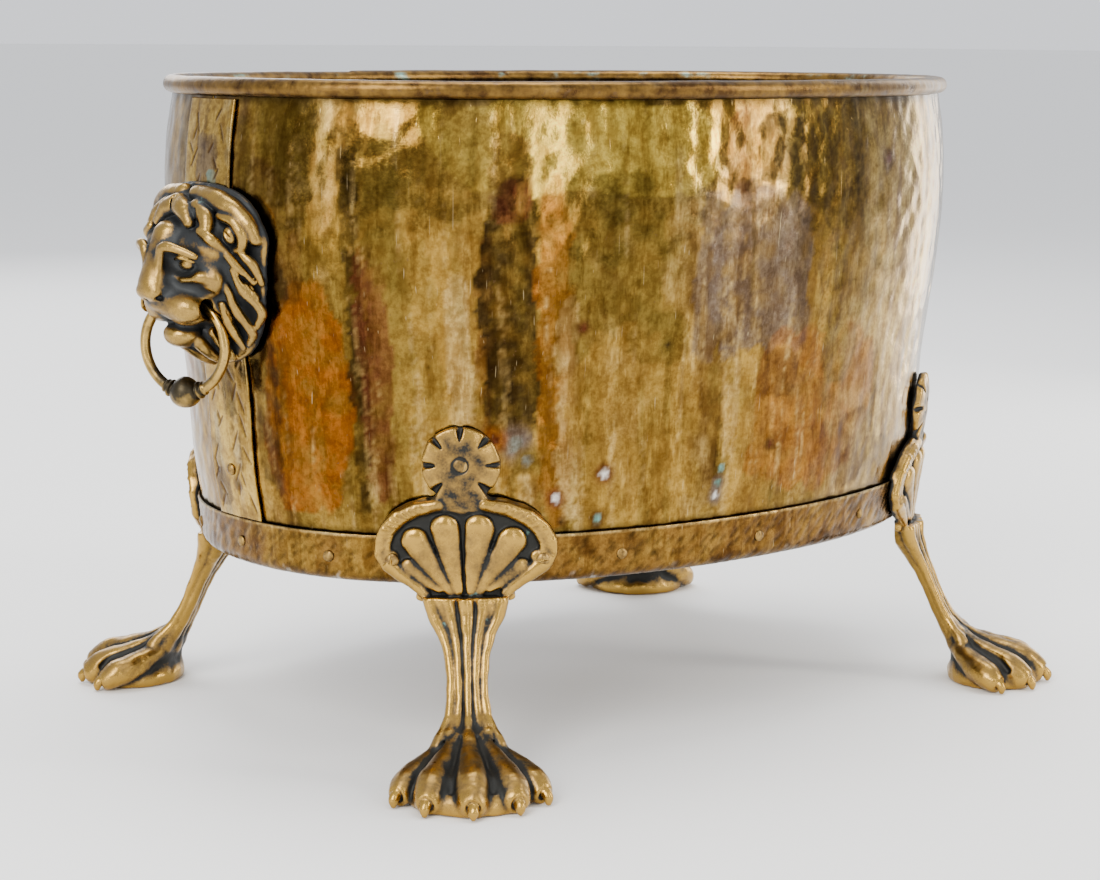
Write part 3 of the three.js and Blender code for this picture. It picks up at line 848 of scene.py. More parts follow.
def tarnished_rim():
    """The rolled rim: brown handling tarnish, rubbed brighter in places along the top."""
    recipe = Recipe("rim_brass")
    long_cloud = recipe.noise(22, 4.0, 0.65)
    cloud = recipe.noise(140, 4.0, 0.65)
    grain = recipe.noise(700, 3.0, 0.6)
    worn = recipe.span(recipe.plus(long_cloud, cloud), 0.82, 1.2)
    color = recipe.mix(worn, (0.06, 0.030, 0.010), (0.21, 0.118, 0.028))
    color = recipe.spots(color, 260, 0.6, (0.09, 0.055, 0.03))
    green = recipe.attribute("green")
    green = recipe.times(green, recipe.span(cloud, 0.4, 0.6))
    color = recipe.mix(green, color, (0.20, 0.38, 0.34))
    roughness = recipe.span(cloud, 0.3, 0.7, 0.26, 0.42)
    normal = recipe.bump(cloud, 0.0004)
    normal = recipe.bump(grain, 0.00003, normal)
    return recipe.finish(Base_Color=color, Roughness=roughness, Normal=normal)


def hardware_brass(name, gold, brown):
    """Small rivets, screws and nuts: dull brass in uneven brown and gold, with small dark marks."""
    recipe = Recipe(name)
    cloud = recipe.noise(320, 4.0, 0.6)
    grain = recipe.noise(1500, 2.0, 0.6)
    color = recipe.mix(recipe.span(cloud, 0.35, 0.65), brown, gold)
    color = recipe.spots(color, 800, 0.5, (0.07, 0.05, 0.03), 2.0, 0.66)
    roughness = recipe.span(cloud, 0.3, 0.7, 0.28, 0.48)
    normal = recipe.bump(grain, 0.00003)
    return recipe.finish(Base_Color=color, Roughness=roughness, Normal=normal)


def old_iron():
    """Rusty wire inside the rim."""
    recipe = Recipe("iron_wire")
    cloud = recipe.noise(300, 5.0, 0.7)
    color = recipe.mix(recipe.span(cloud, 0.4, 0.6), (0.06, 0.05, 0.045), (0.22, 0.10, 0.05))
    roughness = recipe.span(cloud, 0.3, 0.7, 0.55, 0.85)
    return recipe.finish(Base_Color=color, Roughness=roughness, Normal=recipe.bump(cloud, 0.0003))


# ---------------- painted patina, painted reflections and painted shadows

GOLD = (0.36, 0.215, 0.040)
PALE_GOLD = (0.62, 0.43, 0.15)
# Painted reflection: a warm yellow standing for the surroundings seen in the polished wall.
REFLECTION_YELLOW = (0.80, 0.56, 0.085)
OLIVE = (0.125, 0.082, 0.015)
DARK = (0.020, 0.012, 0.005)
BROWN = (0.085, 0.037, 0.009)
ORANGE = (0.27, 0.085, 0.008)
MAROON = (0.10, 0.026, 0.012)
GREY = (0.135, 0.100, 0.080)
SILVER = (0.36, 0.32, 0.21)
VERDIGRIS = (0.14, 0.33, 0.30)
CHALK = (0.75, 0.73, 0.68)
DULL_GREEN = (0.12, 0.17, 0.13)
ASH = (0.16, 0.165, 0.135)

# Patches on the front sheet: middle angle and height, half its width along the wall and half
# its height in millimetres, its colour, how strong it is, and how tarnished. They are partly
# tarnish and partly painted reflections of the surroundings in the polished metal.
FRONT_PATCHES = [
    # Painted reflection: the wide bright yellow band across the top of the wall.
    (243, 300, 78, 22, REFLECTION_YELLOW, 0.75, 0.0),
    (224, 262, 26, 52, GOLD, 0.6, 0.0),
    (199, 180, 26, 52, ORANGE, 0.9, 0.05),
    (196, 258, 18, 34, BROWN, 0.75, 0.2),
    (195, 232, 10, 12, DARK, 0.8, 0.3),
    (202, 292, 14, 28, OLIVE, 0.6, 0.1),
    (191, 200, 9, 70, DARK, 0.7, 0.15),
    (209.5, 225, 4.5, 96, DARK, 0.85, 0.1),
    (212.5, 195, 8, 60, MAROON, 0.7, 0.1),
    (214, 270, 8, 40, OLIVE, 0.75, 0.1),
    (218, 205, 13, 50, OLIVE, 0.45, 0.1),
    (224.5, 190, 6, 50, PALE_GOLD, 0.6, 0.0),
    (228, 212, 3.5, 48, MAROON, 0.6, 0.1),
    (231.5, 222, 13, 58, DARK, 0.92, 0.15),
    (232, 288, 11, 22, MAROON, 0.7, 0.15),
    (237.5, 205, 9, 82, ORANGE, 0.5, 0.0),
    (239, 175, 6, 50, PALE_GOLD, 0.5, 0.0),
    (247, 250, 26, 36, OLIVE, 0.75, 0.1),
    (249, 165, 32, 45, GOLD, 0.8, 0.0),
    (252, 208, 16, 12, OLIVE, 0.6, 0.1),
    (259, 235, 8, 42, GREY, 0.7, 0.25),
    (260, 170, 7, 40, BROWN, 0.6, 0.1),
    (268, 238, 34, 42, GREY, 0.85, 0.45),
    (263, 298, 9, 20, BROWN, 0.8, 0.1),
    (270, 298, 16, 17, DARK, 0.8, 0.1),
    (278, 292, 10, 24, OLIVE, 0.8, 0.1),
    (284, 300, 9, 22, DARK, 0.6, 0.1),
    (278, 165, 50, 38, ORANGE, 0.6, 0.1),
    (272, 186, 14, 12, BROWN, 0.7, 0.2),
    (284, 222, 14, 50, OLIVE, 0.6, 0.2),
    (289, 140, 14, 22, BROWN, 0.6, 0.1),
    (302, 225, 38, 92, PALE_GOLD, 0.85, 0.0),
    (295, 262, 3, 26, MAROON, 0.6, 0.1),
    (316, 225, 9, 75, OLIVE, 0.6, 0.1),
    (330, 220, 34, 80, GOLD, 0.6, 0.1),
    (345, 230, 26, 70, BROWN, 0.5, 0.2),
    (186, 285, 12, 30, OLIVE, 0.5, 0.1),
]

# Small marks on the front sheet: angle, height, radius, middle colour and halo colour.
FRONT_SPOTS = [
    (237.5, 133, 3.2, CHALK, MAROON),
    (244.3, 143.5, 3.4, CHALK, MAROON),
    (243.5, 121, 3.6, VERDIGRIS, BROWN),
    (238.3, 121, 2.0, DARK, BROWN),
    (262.4, 141, 3.0, VERDIGRIS, OLIVE),
    (262.2, 134, 2.6, VERDIGRIS, GREY),
    (261.8, 127, 3.0, CHALK, GREY),
    (231.8, 160, 5.5, ASH, GREY),
    (233.5, 152, 4.0, ASH, OLIVE),
    (229.0, 162, 4.0, MAROON, ORANGE),
    (292, 290, 4.0, MAROON, BROWN),
    (271, 150, 2.4, MAROON, BROWN),
    (253, 205, 3.0, DARK, OLIVE),
    (241, 215, 2.6, MAROON, BROWN),
]

BACK_COLORS = [OLIVE, BROWN, ORANGE, DARK, GREY, PALE_GOLD, REFLECTION_YELLOW, MAROON, GOLD]
BACK_PATCHES = 34


def back_patches(seed):
    """Patches of the same kinds for the back sheet, scattered at random."""
    random = np.random.default_rng(seed)
    patches = []
    for number in range(BACK_PATCHES):
        color = BACK_COLORS[number % len(BACK_COLORS)]
        angle = 6 + 168 * (number * 0.618 % 1)
        wide = random.uniform(4, 15)
        high = random.uniform(40, 110)
        patches.append((
            angle, random.uniform(130, 300), wide, high, color,
            random.uniform(0.45, 0.85), random.uniform(0, 0.35),
        ))
    return patches


class Patina:
    """Colours and tarnish painted on a sheet's points, by distance round it and height."""

    def __init__(self, u, v, color, seed):
        self.u, self.v, self.seed = u, v, seed
        self.color = np.ones(u.shape + (3,)) * np.array(color)
        self.tarnish = np.zeros(u.shape)

    def lay(self, color, share, tarnish=0.0):
        share = share[..., None]
        self.color = self.color * (1 - share) + np.array(color) * share
        self.tarnish = self.tarnish * (1 - share[..., 0]) + tarnish * share[..., 0]

    def streaks(self, color, wide, high, low, span, strength, tarnish=0.0):
        """Streaks that run down the sheet."""
        self.seed += 10
        field = cloud_noise(self.u, self.v * wide / high, wide, self.seed, PERIMETER)
        field = field + 0.35 * cloud_noise(self.u, self.v, wide * 0.4, self.seed + 5, PERIMETER)
        self.lay(color, np.clip((field - low) / span, 0, 1) * strength, tarnish)

    def patch(self, u, v, wide, high, color, strength, tarnish):
        """A patch with a ragged edge, more broken along the wall than up it."""
        self.seed += 10
        du = (self.u - u + PERIMETER / 2) % PERIMETER - PERIMETER / 2
        du = du + 0.45 * wide * cloud_noise(self.u, self.v / 2.2, 26, self.seed, PERIMETER)
        du = du + 3.0 * cloud_noise(self.u, self.v, 7, self.seed + 3, PERIMETER)
        dv = self.v - v + 0.3 * high * cloud_noise(self.u * 1.5, self.v / 2, 22, self.seed + 6)
        reach = ((du / wide) ** 2) ** 1.6 + ((dv / high) ** 2) ** 1.6
        edge = np.clip((1.1 - reach) / 0.12, 0, 1)
        worn = np.clip(0.85 + 0.6 * cloud_noise(self.u, self.v, 8, self.seed + 8, PERIMETER), 0, 1)
        self.lay(color, edge * worn * strength, tarnish)

    def spot(self, u, v, radius, middle, halo):
        du = (self.u - u + PERIMETER / 2) % PERIMETER - PERIMETER / 2
        distance = np.sqrt(du**2 + (self.v - v) ** 2)
        distance = distance + 1.0 * cloud_noise(self.u, self.v, 5, self.seed + 2, PERIMETER)
        self.lay(halo, np.clip((2.1 * radius - distance) / radius, 0, 1) * 0.8, 0.3)
        self.lay(middle, np.clip((0.8 * radius - distance) / 1.2, 0, 1) * 0.9, 0.8)

    def store(self, piece):
        colors = np.concatenate([self.color.reshape(-1, 3), np.ones((self.u.size, 1))], axis=1)
        attribute = piece.data.attributes.new("patina", "FLOAT_COLOR", "POINT")
        attribute.data.foreach_set("color", np.clip(colors, 0, 1).astype(np.float32).ravel())
        set_attribute(piece, "tarnish", self.tarnish)


# ---------------- the body


def wall_dents(u, v):
    """Long waves, ripples and hammer marks, all pushed in from the true oval."""
    waves = 0.30 * cloud_noise(u, v / 3.2, 34, 11, PERIMETER)
    ripples = 0.16 * cloud_noise(u, v / 2.0, 12, 21, PERIMETER)
    marks = planished(u, v, 13, 62, 80, 1.15, 31)
    return np.minimum(waves + ripples - 0.5, 0) + marks


def wall_sheet(name, first, last, patches, spots):
    """One wall sheet, from its foot in the pan to its edge inside the rim."""
    angles = even_angles(first + SEAM_GAP, last - SEAM_GAP, WALL_SPACING)
    heights = np.linspace(BASE_Z + PAN_CORNER + 1, RIM_Z - 2.8, WALL_ROWS)
    angle, z = np.meshgrid(angles, heights, indexing="ij")
    u = arc_of(angle)
    dents = wall_dents(u, z)
    piece = sheet_object(name, wall_point(angle, z, dents), wall_point(angle, z, dents - SHEET))

    columns, rows = both_faces(u), both_faces(z)
    inner = np.zeros(columns.shape)
    inner[:, len(heights):] = 1
    paint = Patina(columns, rows, GOLD, 40)
    # Streaks and patches down the wall: partly tarnish, partly painted reflections of the
    # surroundings in the polished metal.
    paint.streaks(OLIVE, 34, 190, -0.1, 0.5, 0.75)
    paint.streaks(PALE_GOLD, 26, 160, 0.15, 0.5, 0.6)
    paint.streaks(BROWN, 15, 120, 0.3, 0.35, 0.7, 0.1)
    paint.streaks(DARK, 9, 150, 0.42, 0.2, 0.6, 0.1)
    for middle, height, wide, high, color, strength, tarnish in patches:
        paint.patch(float(arc_of(middle)), height, wide, high, color, strength, tarnish)
    paint.streaks(OLIVE, 5, 60, 0.25, 0.35, 0.45)
    paint.streaks(PALE_GOLD, 4, 70, 0.35, 0.3, 0.4)
    for middle, height, radius, color, halo in spots:
        paint.spot(float(arc_of(middle)), height, radius, color, halo)
    band_shadow = np.clip((BAND_TOP_Z + 3.5 - rows) / 3.0, 0, 1)
    rim_shadow = np.clip((rows - WALL_TOP_Z + 4.5) / 4.0, 0, 1)
    paint.lay(DARK, np.maximum(band_shadow, rim_shadow) * 0.75, 0.3)
    stain = cloud_noise(columns, rows, 40, 97, PERIMETER)
    paint.lay(BROWN, inner * np.clip(0.75 + 0.4 * stain, 0, 1), 0.6)
    damp = np.clip((150 + 30 * stain - rows) / 40, 0, 1)
    paint.lay(DULL_GREEN, inner * damp * np.clip(stain * 2 - 0.3, 0, 0.5), 0.9)
    paint.store(piece)
    return piece


def add_walls():
    brass = painted_sheet("wall_brass", 0.12, 0.00008, 0.7)
    back = wall_sheet("back_wall_sheet_skin", 0, 180, back_patches(7), [])
    front = wall_sheet("front_wall_sheet_skin", 180, 360, FRONT_PATCHES, FRONT_SPOTS)
    finish_piece(back, brass, ["back_wall_sheet"])
    finish_piece(front, brass, ["front_wall_sheet"])


def chisel_cuts(u, v, seed):
    """Short chisel cuts down a strap, in crosses and chevrons: how deep, from 0 to 1."""
    random = np.random.default_rng(seed)
    deep = np.zeros(u.shape)
    lean = 1
    for height in np.arange(122, 316, 6.5):
        lean = -lean
        for side in (-1, 1):
            if random.uniform() < 0.18:
                continue
            middle = np.array([side * random.uniform(4, 14), height + random.uniform(-2.5, 2.5)])
            turn = math.radians(90 - lean * side * random.uniform(18, 40))
            along = np.array([math.cos(turn), math.sin(turn)])
            half = random.uniform(3.0, 6.0)
            du, dv = u - middle[0], v - middle[1]
            t = np.clip(du * along[0] + dv * along[1], -half, half)
            distance = np.sqrt((du - t * along[0]) ** 2 + (dv - t * along[1]) ** 2)
            width = np.sqrt(np.maximum(0, 1 - (t / (half + 0.3)) ** 2)) + 0.15
            deep = np.maximum(deep, np.clip(1 - distance / width, 0, 1))
    return deep


def add_straps():
    brass = painted_sheet("strap_brass", 0.22, 0.00005, 0.5)
    for number, (side, end) in enumerate(ENDS.items()):
        half = STRAP_HALF_WIDTH / float(wall_rate(end, MASK_Z))
        angles = even_angles(end - half, end + half, STRAP_SPACING)
        heights = np.arange(BAND_TOP_Z + GAP, WALL_TOP_Z - GAP, STRAP_ROW_STEP)
        angle, z = np.meshgrid(angles, heights, indexing="ij")
        u = (angle - end) * wall_rate(end, z)
        cuts = chisel_cuts(u, z, 60 + number)
        edge = np.clip((STRAP_HALF_WIDTH - np.abs(u)) / 1.1, 0, 1)
        waves = 0.16 * cloud_noise(u + 400, z / 2.5, 11, 66 + number) - 0.16
        faces = planished(u + 300, z, 11, 110, 85, 1.3, 71 + number)
        lift = STRAP_OUTSIDE + np.maximum(waves + faces, -0.5) - 0.5 * cuts - 0.5 * (1 - edge) ** 2
        outer = wall_point(angle, z, lift)
        inner = wall_point(angle, z, 0.25)
        piece = sheet_object(f"seam_strap_{side}_skin", outer, inner)
        columns, rows, depth = both_faces(u), both_faces(z), both_faces(cuts)
        # Where the painted shadow goes along the strap's raised edges, beside the gap that lies in
        # shade.
        painted_edge_shadow = np.clip((np.abs(columns) - STRAP_HALF_WIDTH + 1.6) / 1.2, 0, 1)
        paint = Patina(columns + 200, rows, (0.56, 0.37, 0.085), 80 + 7 * number)
        paint.streaks(GOLD, 12, 60, 0.0, 0.5, 0.6)
        paint.streaks(SILVER, 9, 70, 0.15, 0.4, 0.5)
        paint.streaks(BROWN, 6, 50, 0.4, 0.3, 0.6, 0.1)
        paint.patch(200, MASK_Z + 52, 9, 16, GREY, 0.7, 0.4)
        paint.patch(206, MASK_Z + 46, 3, 5, VERDIGRIS, 0.5, 0.8)
        paint.patch(203, MASK_Z - 56, 6, 14, OLIVE, 0.8, 0.2)
        paint.patch(190, STRAP_RIVET_Z - 10, 6, 9, BROWN, 0.7, 0.1)
        paint.spot(204, 133, 2.2, OLIVE, BROWN)
        paint.lay(BROWN, np.clip(depth * 1.4, 0, 0.85), 0.3)
        # Painted shadow at the strap's edges.
        paint.lay(DARK, painted_edge_shadow * 0.45, 0.3)
        paint.store(piece)
        finish_piece(piece, brass, [f"seam_strap_{side}"])


def pan_sections():
    """One section of the pan, from under its middle, round its edge and back inside.

    Each point is a share of the outline, an offset from it and a height."""
    corner = np.radians(np.linspace(0, 90, 6))
    shares = np.linspace(0.03, 0.93, PAN_RINGS)
    under = [(share, 0.0, BASE_Z) for share in shares]
    outside = []
    for turn in corner:
        rise = BASE_Z + PAN_CORNER * (1 - math.cos(turn))
        outside.append((1.0, BAND_OUTSIDE - PAN_CORNER * (1 - math.sin(turn)), rise))
    for z in np.linspace(BASE_Z + PAN_CORNER + 1.4, BAND_TOP_Z - 0.5, 13):
        outside.append((1.0, BAND_OUTSIDE, z))
    inside = [(1.0, BAND_OUTSIDE - 0.4, BAND_TOP_Z), (1.0, PAN_INSIDE, BAND_TOP_Z - 0.1)]
    inner_corner = PAN_CORNER - PAN_SHEET
    for turn in corner[::-1]:
        rise = BASE_Z + PAN_SHEET + inner_corner * (1 - math.cos(turn))
        inside.append((1.0, PAN_INSIDE - inner_corner * (1 - math.sin(turn)), rise))
    inside += [(share, 0.0, BASE_Z + PAN_SHEET) for share in shares[::-1]]
    return under, outside, inside


def paint_pan(piece, across, up, z, dents, inside, under):
    """Brown and gold, with dark hammer marks, pale chips low on the edge and a dull inside."""
    paint = Patina(across, up, (0.22, 0.115, 0.025), 100)
    paint.streaks(GOLD, 30, 30, 0.0, 0.5, 0.7)
    paint.streaks(BROWN, 14, 12, 0.1, 0.4, 0.7, 0.1)
    paint.streaks(DARK, 6, 6, 0.40, 0.2, 0.5, 0.2)
    paint.lay(DARK, np.clip(-dents * 2.2 - 0.45, 0, 0.5), 0.1)
    paint.lay(PALE_GOLD, np.clip((z - BAND_TOP_Z + 1.4) / 1.0, 0, 0.7) * (inside == 0), 0.0)
    grain = cloud_noise(across, up, 5, 103)
    chips = np.clip((grain - 0.45) / 0.1, 0, 1) * np.clip((BASE_Z + 5 - z) / 3, 0, 1)
    paint.lay(CHALK, chips * 0.7 * (~under), 0.5)
    paint.lay((0.16, 0.11, 0.06), under * 0.75, 0.8)
    damp = cloud_noise(across, up, 45, 105)
    paint.lay((0.20, 0.14, 0.07), inside * 0.85, 0.7)
    paint.lay(DULL_GREEN, inside * np.clip(damp * 1.6 - 0.2, 0, 0.55), 0.9)
    paint.store(piece)


def add_base_pan():
    """The tray under the wall, with its hammered upturned edge."""
    angles = even_angles(0, 360, 1.5)[:-1]
    under, outside, inside = pan_sections()
    share, offset, z = np.array(under + outside + inside).T
    last_outside = len(under) + len(outside)
    angle, share = np.meshgrid(angles, share, indexing="ij")
    offset, z = np.broadcast_to(offset, angle.shape), np.broadcast_to(z, angle.shape)
    u = arc_of(angle)
    hammered = np.zeros(angle.shape)
    hammered[:, len(under):last_outside] = 1
    dents = planished(u, z, 6.5, 17, 38, 1.7, 91) + 0.10 * cloud_noise(u, z, 18, 95, PERIMETER)
    dents = np.clip(dents, -0.55, 0.05) * hammered
    points = wall_point(angle, z, offset + dents)
    points[..., :2] *= share[..., None]
    x, y = points[..., 0] + PAN_PATTERN_SHIFT, points[..., 1] + PAN_PATTERN_SHIFT
    flat = (share < 1) & (z < BASE_Z + 0.5)
    floor_marks = -planished(x, y, 17, 120, 0, 1.0, 93)
    points[..., 2] += np.where(flat, np.clip(floor_marks, 0, 0.5), 0)
    columns, rows = angle.shape
    ends = np.array([[0, 0, BASE_Z + 0.1], [0, 0, BASE_Z + PAN_SHEET]])
    faces = strip_faces(columns, rows, True, False)
    low, high = columns * rows, columns * rows + 1
    for i in range(columns):
        k = (i + 1) % columns
        faces.append((low, k * rows, i * rows))
        faces.append((high, i * rows + rows - 1, k * rows + rows - 1))
    piece = new_object("base_pan_skin", np.concatenate([points.reshape(-1, 3), ends]), faces)

    within = np.broadcast_to(np.arange(rows) >= last_outside, angle.shape)
    within = np.append(within.ravel(), [0, 1])
    flat = np.append(flat.ravel(), [True, False])
    level = flat | (within > 0)
    middle = [PAN_PATTERN_SHIFT] * 2
    across = np.where(level, np.append(x.ravel(), middle), np.append(u.ravel(), [0, 0]))
    z = np.append(z.ravel(), [BASE_Z, BASE_Z + PAN_SHEET])
    up = np.where(level, np.append(y.ravel(), middle), z)
    paint_pan(piece, across, up, z, np.append(dents.ravel(), [0, 0]), within, flat)
    finish_piece(piece, painted_sheet("pan_brass", 0.24, 0.00007, 0.8), ["base_pan"])


def add_rim():
    """The rolled rim: an open tube over the wall's edge, lapped where its ends meet."""
    angles = even_angles(0, 360, 2.2)[:-1]
    outer_turn = np.radians(np.linspace(-78, 258, 27))
    inner_turn = np.radians(np.linspace(256, -76, 13))
    turn = np.concatenate([outer_turn, inner_turn])
    is_outer = np.arange(len(turn)) < len(outer_turn)
    radius = np.where(is_outer, RIM_RADIUS, RIM_RADIUS - RIM_SHEET)
    angle, turn = np.meshgrid(angles, turn, indexing="ij")
    u = arc_of(angle)
    dents = 0.16 * cloud_noise(u, turn * 7, 16, 121, PERIMETER) - 0.14
    flats = np.minimum(0, 0.32 * cloud_noise(u, turn * 3, 60, 131, PERIMETER) - 0.06)
    past_lap = u - arc_of(LAP_ANGLE)
    lap = -0.55 * np.clip(past_lap / 1.5, 0, 1) * np.clip(1 - past_lap / 60, 0, 1)
    section = radius + np.where(is_outer, dents + flats + lap, 0)
    offset = -SHEET / 2 + section * np.cos(turn)
    z = RIM_Z + section * np.sin(turn)
    points = wall_point(angle, np.minimum(RIM_Z, WALL_TOP_Z), offset)
    points[..., 2] = z
    faces = strip_faces(*angle.shape, True, True)
    piece = new_object("rim_tube_skin", points.reshape(-1, 3), faces)
    green = np.clip(cloud_noise(u, turn * 5, 12, 141, PERIMETER) * 3 - 1.0, 0, 1)
    inner_face = (np.cos(turn) < 0.1) & (np.sin(turn) < 0.75)
    set_attribute(piece, "green", green * (0.12 + 0.75 * inner_face))
    finish_piece(piece, tarnished_rim(), ["rim_tube"])


# ---------------- rivets, screws and nuts


def dome(radius, height):
    turns = np.linspace(0, math.pi / 2, 7)
    return [(radius * math.cos(turn), height * math.sin(turn)) for turn in turns]


def add_rivet(node, angle, z, outside, radius, height, material, seed):
    """A rivet with an uneven hand-struck head, closed over by a flat head inside the wall."""
    random = np.random.default_rng(seed)
    grip = outside + 2 * GAP + SHEET + 0.8
    profile = [(0, -grip - 1.1), (2.3, -grip - 1.0), (2.6, -grip - 0.5), (2.5, -grip), (1.6, -grip)]
    profile += [(1.6, -0.05), (radius * 0.97, -0.1)] + dome(radius, height)
    piece = lathe_object(f"{node}_skin", profile, 28)
    mesh = piece.data
    points = np.empty(len(mesh.vertices) * 3)
    mesh.vertices.foreach_get("co", points)
    points = points.reshape(-1, 3) / MM
    turn = np.arctan2(points[:, 2], points[:, 0])
    start = random.uniform(0, 6.3, 3)
    wobble = 0.03 * np.sin(2 * turn + start[0]) + 0.02 * np.sin(3 * turn + start[1])
    head = points[:, 1] > 0.02
    points[:, [0, 2]] *= (1 + wobble * head)[:, None]
    struck = 0.12 * height * np.sin(points[:, 0] * 1.1 + start[2]) * np.cos(points[:, 2] * 0.9)
    points[:, 1] += head * struck * np.clip(1 - np.hypot(points[:, 0], points[:, 2]) / radius, 0, 1)
    mesh.vertices.foreach_set("co", (points * MM).ravel())
    stand_on_wall(piece, angle, z, outside + 0.05, random.uniform(0, 360))
    finish_piece(piece, material, [node])


def small_clay(radius, low, high):
    """Fine clay about Z, with room for a radius and heights from low to high."""
    return Clay(radius + 1, (-radius - 1, radius + 1), (low - 1, high + 1), 0.22)


def upright(points):
    """Clay points with z up become points about Y."""
    return points[:, [0, 2, 1]] * [1, 1, -1]


def screw_model():
    """A round-headed slotted screw, about Z."""
    clay = small_clay(SCREW_HEAD, -13.5, 2.4)
    clay.stroke([(0, 0, -12.2), (0, 0, 0.5)], [1.9, 1.9], 0.2)
    clay.ball((0, 0, -0.2), (SCREW_HEAD, SCREW_HEAD, 2.6), 0.3)
    for step in np.linspace(0, 1, 14):
        z = -13 + 9 * step
        for side in (2.6, -2.6):
            clay.stroke([(0, side, z), (2.6, 0, z)], [0.35, 0.35], 0.2, carve=True)
    _, w, z = clay.grid
    clay.trim(np.maximum(np.abs(w) - 0.5, 1.1 - z))
    return clay.skin(0.03, 151)


def nut_model():
    """A hexagonal nut with its corners rounded off, about Z."""
    clay = small_clay(4.6, -NUT_HEIGHT / 2, NUT_HEIGHT / 2)
    u, w, z = clay.grid
    flats = [np.abs(u * math.cos(t) + w * math.sin(t)) for t in np.radians([30, 90, 150])]
    side = np.maximum.reduce(flats) - NUT_RADIUS * math.cos(math.pi / 6)
    corner = np.hypot(u, w) + 0.9 * np.abs(z) - NUT_RADIUS - 0.9 * (NUT_HEIGHT / 2 - 0.6)
    body = np.maximum(np.maximum(side, np.abs(z) - NUT_HEIGHT / 2), corner)
    clay.field = np.maximum(body, 2.25 - np.hypot(u, w)).astype(np.float32)
    return clay.skin(0.02, 161)


def add_copy(node, model, angle, z, offset, spin, material):
    points, quads, _ = model
    piece = new_object(f"{node}_skin", upright(points), quads.tolist())
    stand_on_wall(piece, angle, z, offset, spin)
    finish_piece(piece, material, [node])


def add_hardware():
    dull = hardware_brass("rivet_brass", (0.36, 0.225, 0.065), (0.12, 0.065, 0.02))
    worn = hardware_brass("screw_brass", (0.42, 0.27, 0.08), (0.16, 0.095, 0.035))
    middles = [("right", 0, END_RIVET_STEP), ("left", 180, END_RIVET_STEP)]
    middles += [("back", 90, SIDE_RIVET_STEP), ("front", 270, SIDE_RIVET_STEP)]
    seed = 200
    for side, middle, step in middles:
        for number in (1, 2, 3):
            seed += 1
            node = f"band_rivet_{side}_{number}"
            angle = middle + (number - 2) * step
            add_rivet(node, angle, BAND_RIVET_Z, BAND_OUTSIDE - 0.15, 2.9, 1.4, dull, seed)
    for side, end in ENDS.items():
        seed += 1
        node = f"strap_rivet_{side}"
        add_rivet(node, end, STRAP_RIVET_Z, STRAP_OUTSIDE - 0.1, 3.0, 1.7, dull, seed)
    screw, nut = screw_model(), nut_model()
    nut_offset = -SHEET - GAP - 0.8 - NUT_HEIGHT / 2
    for corner, foot in FEET.items():
        seed += 1
        node = f"rosette_rivet_{corner}"
        add_rivet(node, foot, ROSETTE_Z, ROSETTE_FRONT + 0.3, 2.8, 0.5, worn, seed)
        turn = LEG_SCREW_OUT / float(wall_rate(foot, LEG_SCREW_Z))
        for letter, angle in (("a", foot - turn), ("b", foot + turn)):
            seed += 1
            spin = float(np.random.default_rng(seed).uniform(0, 180))
            node = f"leg_screw_{corner}_{letter}"
            add_copy(node, screw, angle, LEG_SCREW_Z, PLATE_FRONT + 0.3, spin, worn)
            node = f"leg_nut_{corner}_{letter}"
            add_copy(node, nut, angle, LEG_SCREW_Z, nut_offset, spin, dull)
    for side, end in ENDS.items():
        for level, rise in (("lower", -MASK_STUD_RISE), ("upper", MASK_STUD_RISE)):
            node = f"mask_nut_{side}_{level}"
            add_copy(node, nut, end, MASK_Z + rise, nut_offset, 20, dull)


# ---------------- the feet

ROSETTE_RADIUS = 18.4
SHELL_EDGE = [
    (0, 136), (14.5, 135.4), (23, 133.5), (32.4, 129), (39.2, 122), (42.3, 115.4), (43, 107.9),
    (39.8, 101.6), (32.4, 94.8), (24, 89), (21.8, 84), (0, 82),
]
SHELL_RIM = [
    (11, 131.5), (21, 129.5), (30, 125.2), (36, 119), (38.6, 113), (39, 107.5), (36, 102),
    (29.5, 97), (22, 91.5), (19, 88),
]
# Each petal: its head, the head's radius, its tail and the tail's radius.
PETALS = [
    ((8.0, 120.5), 7.1, (3.0, 89), 2.3),
    ((22.6, 114), 6.9, (6.6, 88.5), 2.1),
    ((26.2, 100.5), 4.8, (11.5, 90.5), 1.9),
]
# The leg's front face at each height: half its width and how far out it stands.
LEG_FRONT = [
    (88, 20.6, 12.6), (84, 21.0, 13.2), (78, 19.0, 13.8), (70, 14.4, 15.8), (62, 11.6, 19.0),
    (52, 10.2, 23.0), (42, 10.2, 27.5), (34, 11.6, 32.5), (28, 14.6, 38.0), (23, 18.6, 44.0),
]
LEG_TOP_Z = 86.8
SOLE_Z = 0.4
RIDGES = 5
# Each toe: where it leaves the leg, its arch, its knuckle and its tip, as (u, w, z, radius).
TOE_PATHS = [
    [(0, 41, 22.5, 5.0), (0, 55, 16.4, 7.4), (0, 69, 12.0, 8.6), (0, 76.5, 7.4, 7.4)],
    [(7.5, 40, 21.5, 5.0), (13.6, 53, 15.0, 7.2), (18, 64.5, 10.8, 8.0), (19.6, 70.5, 7.0, 7.0)],
    [(14, 37, 18.5, 5.0), (22.5, 45, 12.6, 6.8), (29, 52.5, 9.2, 7.2), (32, 57, 6.2, 6.0)],
]


def at_heights(z, column):
    """A column of the leg's table at heights z."""
    table = np.array(LEG_FRONT[::-1])
    return np.interp(z, table[:, 0], table[:, column])


